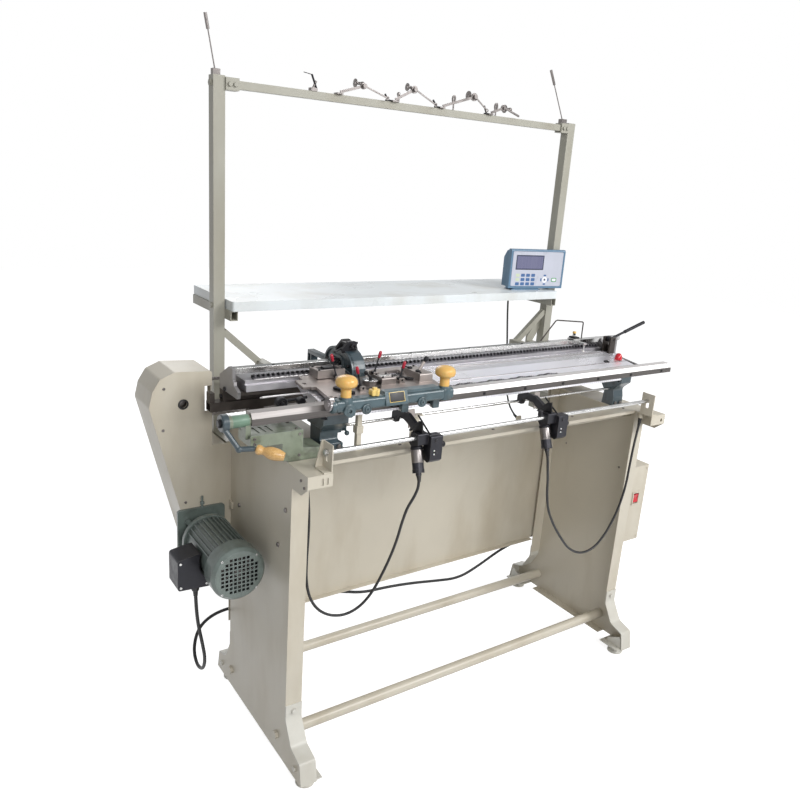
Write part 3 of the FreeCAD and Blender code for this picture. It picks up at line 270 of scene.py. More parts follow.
def needle_bed_steel(name, colour):
    """Milled bed of polished steel: needle grooves across it, drawn 4.3 mm apart where real
    ones are near 2 mm, because those would melt together in a picture."""
    material, tree, shader, place = start(name, Metallic=0.75)
    wide = add(tree, "ShaderNodeMapping", None, Vector=place, Scale=(73.0, 1.0, 1.0))
    groove = add(tree, "ShaderNodeTexWave", {"wave_type": "BANDS", "bands_direction": "X",
                                             "wave_profile": "SIN"}, Vector=wide, Scale=0.5)
    cut = add(tree, "ShaderNodeMapRange", None, Value=groove.outputs[1], From_Min=0.15,
              From_Max=0.5)
    wear = add(tree, "ShaderNodeTexNoise", None, Vector=place, Scale=14.0, Detail=5.0)
    # painted shade: the grooves are coloured darker than the flats between them
    groove_shade = add(tree, "ShaderNodeMix", RGBA, i0=cut, i6=dim(colour, 0.9), i7=dim(colour, 1.03))
    smoke = add(tree, "ShaderNodeMix", RGBA, i0=wear, i6=(0.80, 0.80, 0.84, 1), i7=(1, 1, 1, 1))
    base = add(tree, "ShaderNodeMix", TINT, i0=0.25, i6=groove_shade.outputs[2], i7=smoke.outputs[2])
    silk = add(tree, "ShaderNodeMapRange", None, Value=wear, From_Min=0.3, From_Max=0.7,
               To_Min=0.24, To_Max=0.42)
    soft = add(tree, "ShaderNodeBevel", {"samples": 4}, Radius=0.0007)
    bump = add(tree, "ShaderNodeBump", None, Strength=0.3, Distance=0.0006, Height=cut,
               Normal=soft)
    wire(tree, shader, Base_Color=base.outputs[2], Roughness=silk, Normal=bump)
    return material


def plated_steel(name, colour, rough=0.16):
    """Nickel-plated steel: bright, with faint drawing lines and finger haze."""
    material, tree, shader, place = start(name, Metallic=1.0)
    haze = add(tree, "ShaderNodeTexNoise", None, Vector=place, Scale=30.0, Detail=4.0)
    base = add(tree, "ShaderNodeMix", RGBA, i0=haze, i6=dim(colour, 0.84), i7=dim(colour, 1.06))
    breath = add(tree, "ShaderNodeMapRange", None, Value=haze, From_Min=0.35, From_Max=0.7,
                 To_Min=rough, To_Max=rough + 0.16)
    soft = add(tree, "ShaderNodeBevel", {"samples": 4}, Radius=0.0005)
    bump = add(tree, "ShaderNodeBump", None, Strength=0.05, Distance=0.0002, Height=haze,
               Normal=soft)
    wire(tree, shader, Base_Color=base.outputs[2], Roughness=breath, Normal=bump)
    return material


def black_oxide_steel(name, code="#1C1C20"):
    """Oil-blackened steel: near black, semi-matt, brown-grey where it is rubbed."""
    colour = linear(code)
    material, tree, shader, place = start(name, Metallic=0.55)
    oil = add(tree, "ShaderNodeTexNoise", None, Vector=place, Scale=60.0, Detail=4.0)
    film = add(tree, "ShaderNodeMix", RGBA, i0=oil, i6=dim(colour, 0.7), i7=dim(colour, 1.7))
    rubbed = add(tree, "ShaderNodeMath", TIMES, i0=worn_edges(tree, 0.001), i1=0.6)
    base = add(tree, "ShaderNodeMix", RGBA, i0=rubbed, i6=film.outputs[2],
               i7=dim(linear("#77716A")))
    wet = add(tree, "ShaderNodeMapRange", None, Value=oil, From_Min=0.3, From_Max=0.7,
              To_Min=0.3, To_Max=0.5)
    soft = add(tree, "ShaderNodeBevel", {"samples": 4}, Radius=0.0007)
    bump = add(tree, "ShaderNodeBump", None, Strength=0.12, Distance=0.0003, Height=oil,
               Normal=soft)
    wire(tree, shader, Base_Color=base.outputs[2], Roughness=wet, Normal=bump)
    return material


def beam_steel(name):
    """Brown-black beam of rolled steel; its end plates and the top of its carrier are bare."""
    material, tree, shader, place = start(name)
    along = add(tree, "ShaderNodeSeparateXYZ", None, Vector=place).outputs[0]
    # the plates stand 42 mm left of the left end panel and 15 mm right of the right one
    left = add(tree, "ShaderNodeMapRange", None, Value=along, From_Min=-0.6183, From_Max=-0.6186)
    right = add(tree, "ShaderNodeMapRange", None, Value=along, From_Min=0.6383, From_Max=0.6386)
    height = add(tree, "ShaderNodeSeparateXYZ", None, Vector=place).outputs[2]
    upper = add(tree, "ShaderNodeMapRange", None, Value=height, From_Min=0.9228, From_Max=0.9236)
    ends = add(tree, "ShaderNodeMath", {"operation": "MAXIMUM"}, i0=left, i1=right)
    ends = add(tree, "ShaderNodeMath", TIMES, i0=ends, i1=upper)
    skin = add(tree, "ShaderNodeTexNoise", None, Vector=place, Scale=24.0, Detail=6.0)
    rolled = add(tree, "ShaderNodeMix", RGBA, i0=skin, i6=dim(linear("#2B2725")),
                 i7=dim(linear("#57504B")))
    milled = add(tree, "ShaderNodeMix", RGBA, i0=skin, i6=dim(linear("#7C7A7B")),
                 i7=dim(linear("#A5A3A4")))
    base = add(tree, "ShaderNodeMix", RGBA, i0=ends, i6=rolled.outputs[2], i7=milled.outputs[2])
    silk = add(tree, "ShaderNodeMapRange", None, Value=skin, From_Min=0.3, From_Max=0.7,
               To_Min=0.32, To_Max=0.5)
    soft = add(tree, "ShaderNodeBevel", {"samples": 4}, Radius=0.0008)
    bump = add(tree, "ShaderNodeBump", None, Strength=0.12, Distance=0.0003, Height=skin,
               Normal=soft)
    wire(tree, shader, Base_Color=base.outputs[2], Roughness=silk, Normal=bump, Metallic=0.6)
    return material


def moulded_plastic(name, colour, rough=0.3, glow=0.0):
    """Injection-moulded ABS or phenolic: even colour, a spark-eroded grain under 1 mm."""
    material, tree, shader, place = start(name, IOR=1.5, Subsurface_Weight=glow,
                                          Subsurface_Scale=0.004)
    cloud = add(tree, "ShaderNodeTexNoise", None, Vector=place, Scale=25.0, Detail=3.0)
    base = add(tree, "ShaderNodeMix", RGBA, i0=cloud, i6=dim(colour, 0.92), i7=dim(colour, 1.05))
    haze = add(tree, "ShaderNodeMapRange", None, Value=cloud, From_Min=0.3, From_Max=0.7,
               To_Min=rough - 0.05, To_Max=rough + 0.08)
    grain = add(tree, "ShaderNodeTexNoise", None, Vector=place, Scale=1250.0, Detail=1.0)
    soft = add(tree, "ShaderNodeBevel", {"samples": 4}, Radius=0.0006)
    bump = add(tree, "ShaderNodeBump", None, Strength=0.06, Distance=0.0002, Height=grain,
               Normal=soft)
    wire(tree, shader, Base_Color=base.outputs[2], Roughness=haze, Normal=bump)
    return material


def turned_beech(name):
    """Turned and lacquered beech: pale tan, grain lines 1.5 mm apart along the handle."""
    material, tree, shader, place = start(name, IOR=1.48, Roughness=0.35, Coat_Weight=0.35,
                                          Coat_Roughness=0.15)
    turned = add(tree, "ShaderNodeMapping", None, Vector=place, Rotation=(0.0, 0.19, -0.66),
                 Scale=(1.0, 6.0, 6.0))
    grain = add(tree, "ShaderNodeTexNoise", None, Vector=turned, Scale=110.0, Detail=5.0)
    flecks = add(tree, "ShaderNodeTexNoise", None, Vector=turned, Scale=420.0, Detail=2.0)
    rings = add(tree, "ShaderNodeMapRange", None, Value=grain, From_Min=0.35, From_Max=0.65)
    wood = add(tree, "ShaderNodeMix", RGBA, i0=rings, i6=dim(linear("#C2914D")),
               i7=dim(linear("#E0B979")))
    dots = add(tree, "ShaderNodeMapRange", None, Value=flecks, From_Min=0.6, From_Max=0.75,
               To_Max=0.6)
    base = add(tree, "ShaderNodeMix", RGBA, i0=dots, i6=wood.outputs[2],
               i7=dim(linear("#7A4F28")))
    bump = add(tree, "ShaderNodeBump", None, Strength=0.08, Distance=0.0002, Height=grain)
    wire(tree, shader, Base_Color=base.outputs[2], Normal=bump)
    return material


def soft_pvc(name, code="#121214"):
    """Extruded PVC lead: black, low sheen, faint extrusion ripple 2 mm apart."""
    colour = linear(code)
    material, tree, shader, place = start(name, IOR=1.5, Roughness=0.48)
    ripple = add(tree, "ShaderNodeTexNoise", None, Vector=place, Scale=500.0, Detail=2.0)
    base = add(tree, "ShaderNodeMix", RGBA, i0=ripple, i6=dim(colour, 0.8), i7=dim(colour, 1.8))
    bump = add(tree, "ShaderNodeBump", None, Strength=0.1, Distance=0.0002, Height=ripple)
    wire(tree, shader, Base_Color=base.outputs[2], Normal=bump)
    return material


def display_glass(name):
    """Liquid crystal window: rows of violet-grey cells 4 by 6 mm behind clear plastic."""
    material, tree, shader, place = start(name, IOR=1.49, Roughness=0.08)
    rows = add(tree, "ShaderNodeMapping", None, Vector=place, Scale=(250.0, 1.0, 167.0))
    cells = add(tree, "ShaderNodeTexBrick", {"offset": 0.0}, Vector=rows, Scale=1.0,
                Color1=dim(linear("#696A88")), Color2=dim(linear("#72738F")),
                Mortar=dim(linear("#7C7D98")), Mortar_Size=0.04)
    wire(tree, shader, Base_Color=cells)
    return material


FINISHES = {}


def finish(key):
    """The named finish, made the first time it is asked for."""
    if key not in FINISHES:
        tint = bpy.context.scene.knitter_colours
        makers = {
            "stand": lambda: sprayed_enamel("baked_enamel_stand", tuple(tint.stand)),
            "post": lambda: sprayed_enamel("baked_enamel_posts", linear("#A6A498")),
            "feet": lambda: sprayed_enamel("baked_enamel_feet", tuple(tint.feet)),
            "shelf": lambda: sprayed_enamel("baked_enamel_shelf", tuple(tint.shelf), 0.3),
            "casting": lambda: cast_iron_enamel("cast_iron_blue_grey", tuple(tint.casting)),
            "dark_casting": lambda: cast_iron_enamel("cast_iron_slate", linear("#37464D")),
            "gear_case": lambda: cast_iron_enamel("cast_iron_olive", tuple(tint.gear_case)),
            "motor": lambda: cast_iron_enamel("aluminium_motor_enamel", tuple(tint.motor), 0.25),
            "sleeve": lambda: sprayed_enamel("green_sleeve_enamel", linear("#6C8875")),
            "ground": lambda: ground_steel("surface_ground_steel", linear("#B9B5B6")),
            "dull": lambda: ground_steel("mill_steel", linear("#8F8A88"), 0.42, 0.45),
            "cam_plate": lambda: ground_steel("cam_plate_steel", linear("#B0A8A4"), 0.42, 0.4),
            "rear_bed": lambda: plated_steel("rear_bed_steel", linear("#C9C7CB"), 0.36),
            "rail": lambda: guide_rail_steel("drawn_guide_rail"),
            "bed": lambda: needle_bed_steel("milled_needle_bed", linear("#F6F5FA")),
            "bright": lambda: plated_steel("nickel_plated_steel", linear("#CFCFCE")),
            "black": lambda: black_oxide_steel("black_oxide_steel"),
            "cover": lambda: black_oxide_steel("black_cover_steel", "#2A2A2F"),
            "beam": lambda: beam_steel("rolled_beam_steel"),
            "comb": lambda: ground_steel("comb_steel", linear("#77767A"), 0.38, 0.4),
            "fitting": lambda: plated_steel("zinc_fitting_steel", linear("#85807E"), 0.26),
            "glass_rim": lambda: moulded_plastic("slate_bezel", linear("#343A52"), 0.3),
            "key_pale": lambda: moulded_plastic("pale_key_film", linear("#C9D3B8"), 0.35),
            "key_ring": lambda: moulded_plastic("white_key_film", linear("#ECEDF2"), 0.35),
            "rack": lambda: ground_steel("bright_strip_steel", linear("#DAD7D8"), 0.34, 0.1),
            "knob": lambda: moulded_plastic("amber_phenolic", tuple(tint.knob), 0.24, glow=0.15),
            "cream": lambda: moulded_plastic("yellow_phenolic", linear("#E9CB78"), 0.25),
            "white": lambda: moulded_plastic("white_nylon", linear("#E8E8E4"), 0.4, glow=0.1),
            "red": lambda: moulded_plastic("red_lever_plastic", tuple(tint.lever_tip), 0.22),
            "lamp": lambda: moulded_plastic("red_switch_plastic", linear("#C8202C"), 0.2),
            "pad_case": lambda: moulded_plastic("blue_abs_case", tuple(tint.pad_case), 0.36),
            "pad_front": lambda: moulded_plastic("printed_membrane", linear("#C3C6D2"), 0.3),
            "key_dark": lambda: moulded_plastic("slate_key_film", linear("#44699A"), 0.35),
            "key_green": lambda: moulded_plastic("green_key_film", linear("#4E9E5C"), 0.35),
            "screen": lambda: display_glass("display_window"),
            "beech": lambda: turned_beech("turned_beech"),
            "lead": lambda: soft_pvc("black_pvc_lead"),
            "rubber": lambda: soft_pvc("moulded_rubber", "#1B1A19"),
            "dark_plastic": lambda: moulded_plastic("black_abs", linear("#17171A"), 0.4),
        }
        FINISHES[key] = makers[key]()
    return FINISHES[key]


def dress(key, *nodes):
    """Gives CAD nodes a finish."""
    for name in nodes:
        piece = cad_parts[name]
        piece.data.materials.clear()
        piece.data.materials.append(finish(key))


# ---- shapes ------------------------------------------------------------------


def toward(axis):
    """Rotation that turns +Z to the axis."""
    return Vector(axis).to_track_quat("Z", "Y").to_matrix().to_4x4()


def lathe(shape, profile, base, axis=(0, 0, 1), steps=32):
    """Adds a turned body; profile is (radius, height) in millimetres from its base."""
    rings = []
    place = Matrix.Translation(base) @ toward(axis)
    for radius, height in profile:
        if radius <= 0:
            rings.append([shape.verts.new(place @ Vector((0, 0, height / 1000)))])
            continue
        ring = []
        for k in range(steps):
            angle = 2 * math.pi * k / steps
            at = Vector((radius * math.cos(angle), radius * math.sin(angle), height)) / 1000
            ring.append(shape.verts.new(place @ at))
        rings.append(ring)
    for low, high in zip(rings[:-1], rings[1:]):
        for k in range(steps):
            j = (k + 1) % steps
            if len(low) == 1 and len(high) == 1:
                continue
            if len(low) == 1:
                shape.faces.new((low[0], high[j], high[k]))
            elif len(high) == 1:
                shape.faces.new((low[k], low[j], high[0]))
            else:
                shape.faces.new((low[k], low[j], high[j], high[k]))


def rounded(points, steps=5):
    """Corner points (a, b), or (a, b, radius) where rounded, as one outline."""
    out = []
    for k, corner in enumerate(points):
        here = Vector(corner[:2])
        if len(corner) < 3:
            out.append(here)
            continue
        back = (Vector(points[k - 1][:2]) - here).normalized()
        on = (Vector(points[(k + 1) % len(points)][:2]) - here).normalized()
        half = back.angle(on) / 2
        reach = corner[2] / math.tan(half)
        centre = here + (back + on).normalized() * corner[2] / math.sin(half)
        first = here + back * reach - centre
        last = here + on * reach - centre
        for step in range(steps + 1):
            out.append(centre + first.lerp(last, step / steps).normalized() * corner[2])
    return out


def slab(shape, corners, lift, edge=0.0):
    """Adds a flat plate: corner points in order, and the vector to its other face."""
    part = bmesh.new()
    low = [part.verts.new(c) for c in corners]
    high = [part.verts.new(c + lift) for c in corners]
    count = len(corners)
    part.faces.new(low)
    part.faces.new(list(reversed(high)))
    for k in range(count):
        part.faces.new((low[k], high[k], high[(k + 1) % count], low[(k + 1) % count]))
    bmesh.ops.recalc_face_normals(part, faces=part.faces)
    if edge:
        bmesh.ops.bevel(part, geom=list(part.edges), offset=edge, segments=2, profile=0.7,
                        affect="EDGES", clamp_overlap=True)
    keep = bpy.data.meshes.new("part")
    part.to_mesh(keep)
    part.free()
    shape.from_mesh(keep)
    bpy.data.meshes.remove(keep)


def block(shape, x0, x1, y0, y1, z0, z1, edge=0.0005):
    """Adds a box given in the drawing's millimetres, with eased edges."""
    corners = [spot(x0, y0, z0), spot(x1, y0, z0), spot(x1, y1, z0), spot(x0, y1, z0)]
    slab(shape, corners, Vector((0, 0, (z1 - z0) / 1000)), edge)


def bar(shape, start_at, end_at, radius, steps=16):
    """Adds a round bar between two points, with small eased ends; radius in millimetres."""
    way = end_at - start_at
    reach = way.length * 1000
    ease = min(0.4, radius * 0.3)
    lathe(shape, [(0, 0), (radius - ease, 0), (radius, ease), (radius, reach - ease),
                  (radius - ease, reach), (0, reach)], start_at, way, steps)


def piece(name, shape, key, body, slot, angle=38.0):
    """Makes the object for a finished shape and lets it ride on its body."""
    bmesh.ops.recalc_face_normals(shape, faces=shape.faces)
    data = bpy.data.meshes.new(name)
    shape.to_mesh(data)
    shape.free()
    data.polygons.foreach_set("use_smooth", [True] * len(data.polygons))
    data.set_sharp_from_angle(angle=math.radians(angle))
    data.materials.append(finish(key))
    made = bpy.data.objects.new(name, data)
    bpy.context.scene.collection.objects.link(made)
    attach(made, body)
    return made


def hex_head(shape, base, axis, across, height):
    """Adds a hexagon bolt head with a domed top and a washer face."""
    r = across / math.sqrt(3)
    lathe(shape, [(0, 0), (r * 0.9, 0), (r, height * 0.12), (r, height * 0.85),
                  (r * 0.84, height), (0, height)], base, axis, 6)


def socket_head(shape, base, axis, radius, height):
    """Adds a cap screw with its socket."""
    lathe(shape, [(0, 0), (radius, 0), (radius, height * 0.8), (radius * 0.88, height),
                  (radius * 0.55, height), (radius * 0.55, height * 0.45), (0, height * 0.45)],
          base, axis, 18)


# ---- cords -------------------------------------------------------------------

# the routes are those of the drawing, in millimetres
MOTOR_ROUTE = (
    (-143, 229, 438), (-142, 229, 388), (-137, 229, 330), (-126, 230, 272), (-116, 236, 216),
    (-113, 262, 166), (-114, 308, 152), (-108, 352, 178), (-78, 390, 214), (-20, 408, 232),
    (54, 402, 236), (134, 390, 236), (214, 381, 236), (296, 378, 226), (376, 378, 204),
    (452, 378, 180), (540, 378, 176), (640, 378, 164), (740, 378, 146), (840, 378, 130),
    (926, 378, 156), (1020, 378, 196), (1108, 384, 210), (1196, 396, 222), (1246, 360, 236),
    (1262, 284, 250), (1258, 204, 262), (1252, 128, 270), (1247, 72, 286), (1245, 46, 312),
    (1245, 45, 338))
FIRST_SIGNAL_ROUTE = (
    (298.4, -68.5, 772.3), (296.1, -77.3, 752.3), (286, -74, 722), (276, -62, 690),
    (272, -50, 645), (270, -38, 595), (262, -24, 540), (250, -10, 488), (232, 0, 440),
    (204, 8, 404), (166, 14, 388), (126, 20, 394), (92, 22, 418), (68, 22, 456), (56, 22, 505),
    (55, 22, 560), (57, 22, 615), (58, 22, 670), (55, 24, 722), (52, 27, 764), (52, 27, 805))
SECOND_SIGNAL_ROUTE = (
    (720.4, -68.5, 772.3), (718.1, -77.3, 752.3), (720, -80, 722), (732, -74, 690),
    (742, -68, 645), (758, -64, 592), (790, -60, 540), (832, -58, 486), (878, -56, 436),
    (934, -54, 408), (988, -52, 410), (1026, -52, 438), (1058, -52, 482), (1083, -52, 536),
    (1100, -50, 596), (1108, -46, 658), (1122, -38, 714), (1140, -29, 756), (1150, -25, 800))
PAD_ROUTE = (
    (1014, 470, 1113.5), (1015, 468, 1066), (1019, 464, 1000), (1024, 460, 935),
    (1028, 456, 870), (1030, 450, 806), (1030, 436, 746), (1030, 406, 704), (1030, 371, 690))


def lead(name, route, radius, real_length, node, stiffness="medium"):
    """A cord on one smooth curve through its route."""
    curve = bpy.data.curves.new(name, "CURVE")
    curve.dimensions = "3D"
    curve.bevel_depth = radius
    curve.bevel_resolution = 4
    curve.use_fill_caps = True
    line = curve.splines.new("NURBS")
    line.points.add(len(route) - 1)
    for point, place in zip(line.points, route):
        point.co = (*spot(*place), 1)
    line.order_u = 3
    line.use_endpoint_u = True
    line.resolution_u = 10
    curve.materials.append(finish("lead"))
    made = bpy.data.objects.new(name, curve)
    bpy.context.scene.collection.objects.link(made)
    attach(made, "frame")
    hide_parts(node)
    return made


class KNITTER_OT_cords(bpy.types.Operator):
    """Motor lead, the leads of the two sensing units and the lead of the control pad"""
    bl_idname = "knitter.cords"
    bl_label = "Leads"

    def execute(self, context):
        sizes = context.scene.knitter_sizes
        lead("motor_lead", MOTOR_ROUTE, sizes.lead, 2.149, "motor_cable")
        lead("first_unit_lead", FIRST_SIGNAL_ROUTE, sizes.signal, 0.914, "signal_cables")
        lead("second_unit_lead", SECOND_SIGNAL_ROUTE, sizes.signal, 0.935, "signal_cables")
        lead("pad_lead", PAD_ROUTE, 0.003, 0.458, "signal_cables")
        return {"FINISHED"}


# ---- finishes of the CAD nodes -----------------------------------------------


class KNITTER_OT_finishes(bpy.types.Operator):
    """Finishes of the sheet, steel, cast and moulded parts"""
    bl_idname = "knitter.finishes"
    bl_label = "Finishes"

    def execute(self, context):
        dress("stand", "left_end_panel", "right_end_panel", "rear_panel", "front_cross_rail",
              "cap_plates", "tie_tubes", "belt_guard", "rod_brackets", "switch_box")
        dress("post", "posts", "top_rail", "support_arms")
        dress("feet", "foot_brackets", "levelling_feet")
        dress("rubber", "drive_belt")
        dress("shelf", "shelf")
        dress("fitting", "antennas", "tension_brackets", "take_up_arm_1", "take_up_arm_2",
              "take_up_arm_3")
        dress("bright", "rods", "feeder_rail", "yarn_feeder")
        dress("beam", "bed_frame")
        dress("comb", "needle_comb")
        dress("pad_case", "controller_housing")
        dress("pad_front", "controller_panel")
        dress("motor", "motor_body", "motor_fan_cover", "motor_mount")
        dress("cover", "terminal_box", "actuator_1", "actuator_2")
        dress("dull", "motor_rotor", "drive_shaft", "drive_chain", "idler_sprocket")
        dress("cam_plate", "carriage_plate")
        dress("rear_bed", "rear_needle_bed")
        dress("bed", "front_needle_bed")
        dress("ground", "knurled_knob")
        dress("rail", "front_slide_rail")
        dress("casting", "handle_casting")
        dress("dark_casting", "left_support", "right_support", "bridge_arch", "racking_crank")
        dress("gear_case", "racking_gearbox")
        dress("black", "hand_lever", "cam_lever_1", "cam_lever_2",
              "cam_lever_3", "cam_lever_4")
        dress("lamp", "rocker_switch")
        return {"FINISHED"}


# ---- hand parts --------------------------------------------------------------


class KNITTER_OT_hand_knobs(bpy.types.Operator):
    """The two amber hand knobs of the carriage on their turned stems"""
    bl_idname = "knitter.hand_knobs"
    bl_label = "Hand knobs"

    def execute(self, context):
        r = context.scene.knitter_sizes.knob_radius * 1000
        shape = bmesh.new()
        profile = [(0, 0), (12.4, 0), (12.6, 3), (12.2, 10), (12, 17), (12.8, 21), (16, 24),
                   (20.5, 25.8), (23.6, 28), (r - 0.4, 31.4), (r, 35.4), (r - 0.5, 39.6),
                   (r - 2.2, 43.6), (r - 5.6, 47), (r - 11, 49.8), (7, 51.4), (0, 51.8)]
        for x in (128, 406):
            lathe(shape, profile, spot(x, 0, 965), (0, 0, 1), 48)
        knobs = piece("hand_knobs", shape, "knob", "carriage", "amber_plastic", 60)
        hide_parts("handle_knobs")
        return {"FINISHED"}


class KNITTER_OT_star_knob(bpy.types.Operator):
    """Small cream star knob in the middle of the handle bar"""
    bl_idname = "knitter.star_knob"
    bl_label = "Star knob"

    def execute(self, context):
        shape = bmesh.new()
        steps = 60
        rings = []
        for out, z in ((0.2, 963), (0.9, 963), (1.0, 965), (1.0, 974), (0.9, 976.5), (0.5, 977),
                       (0.42, 981), (0.0, 981.4)):
            ring = []
            for k in range(steps):
                angle = 2 * math.pi * k / steps
                r = (12.0 + 1.9 * math.cos(5 * angle)) * out
                ring.append(shape.verts.new(spot(204 + r * math.cos(angle),
                                                 r * math.sin(angle), z)))
            rings.append(ring)
        for low, high in zip(rings[:-1], rings[1:]):
            for k in range(steps):
                j = (k + 1) % steps
                shape.faces.new((low[k], low[j], high[j], high[k]))
        bmesh.ops.remove_doubles(shape, verts=shape.verts, dist=1e-6)
        lathe(shape, [(0, 0), (5, 0), (5, 17), (0, 17)], spot(204, 0, 946.4), (0, 0, 1), 20)
        star = piece("cream_star_knob", shape, "cream", "star", "cream_plastic", 50)
        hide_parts("star_knob")
        return {"FINISHED"}


class KNITTER_OT_crank_grip(bpy.types.Operator):
    """Turned wooden grip of the racking crank"""
    bl_idname = "knitter.crank_grip"
    bl_label = "Crank grip"

    def execute(self, context):
        shape = bmesh.new()
        way = Vector((45, -35, -11)).normalized()
        base = spot(-87, 0, 873) + way * 0.0004
        profile = [(4.2, 0), (8.4, 0), (9.8, 0.8), (10.8, 2.6), (11.1, 5.5), (10.8, 8.6),
                   (9.8, 11.2), (8.8, 13.4), (8.5, 15.6), (9.0, 18), (10.6, 21.6), (12.6, 26.4),
                   (13.7, 31), (14.1, 36), (13.9, 42), (13.0, 48), (11.4, 54), (9.9, 58.6),
                   (9.2, 61), (8.2, 62), (3.6, 62), (3.3, 60.8), (0, 60.8)]
        lathe(shape, profile, base, way, 40)
        grip = piece("wooden_grip", shape, "beech", "racking_grip", "turned_wood", 60)
        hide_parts("crank_grip")
        return {"FINISHED"}


# ---- small parts -------------------------------------------------------------


def plate_top(y):
    """Height of the carriage plate's top at y, in millimetres."""
    return 951.0 + max(0.0, y - 60.0) * 17.0 / 128.0


def bed_top(y):
    """Height of the sloped needle bed at y, in millimetres."""
    return 936.0 + (y - 62.0) / 6.0


class KNITTER_OT_cam_levers(bpy.types.Operator):
    """Cam levers with blackened stems and red tips"""
    bl_idname = "knitter.cam_levers"
    bl_label = "Cam levers"

    def execute(self, context):
        levers = ((187, 150, 170, 1028, "one"), (296, 150, 313, 1026, "two"),
                  (214, 78, 200, 1012, "three"), (341, 100, 354, 1008, "four"))
        for number, (x, y, tip_x, top, body) in enumerate(levers, 1):
            z = plate_top(y) + 6.5
            foot = spot(x, y, z)
            way = spot(tip_x, y, top) - foot
            reach = way.length * 1000
            way.normalize()
            stem = bmesh.new()
            bar(stem, spot(x, y - 12.4, z), spot(x, y + 12.4, z), 3.0)
            bar(stem, spot(x, y - 6, z), spot(x, y + 6, z), 4.6, 24)
            lathe(stem, [(0, 0), (3.2, 0), (3.2, 8), (2.1, 10), (1.8, reach - 19), (2.8, reach
                         - 18), (2.8, reach - 15), (0, reach - 15)], foot, way)
            made = piece("lever_stem_%d" % number, stem, "black", "lever_" + body,
                         "ground_steel")
            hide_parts("cam_lever_%d" % number)
            tip = bmesh.new()
            lathe(tip, [(0, 0), (2.6, 0), (3.2, 0.8), (3.8, 5), (4.2, 12), (3.9, 16), (2.8, 18.4),
                        (1.2, 19), (0, 19)], foot + way * (reach - 19) / 1000, way)
            made = piece("lever_tip_%d" % number, tip, "red", "lever_" + body, "red_plastic", 60)
            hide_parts("cam_lever_%d" % number)
        return {"FINISHED"}


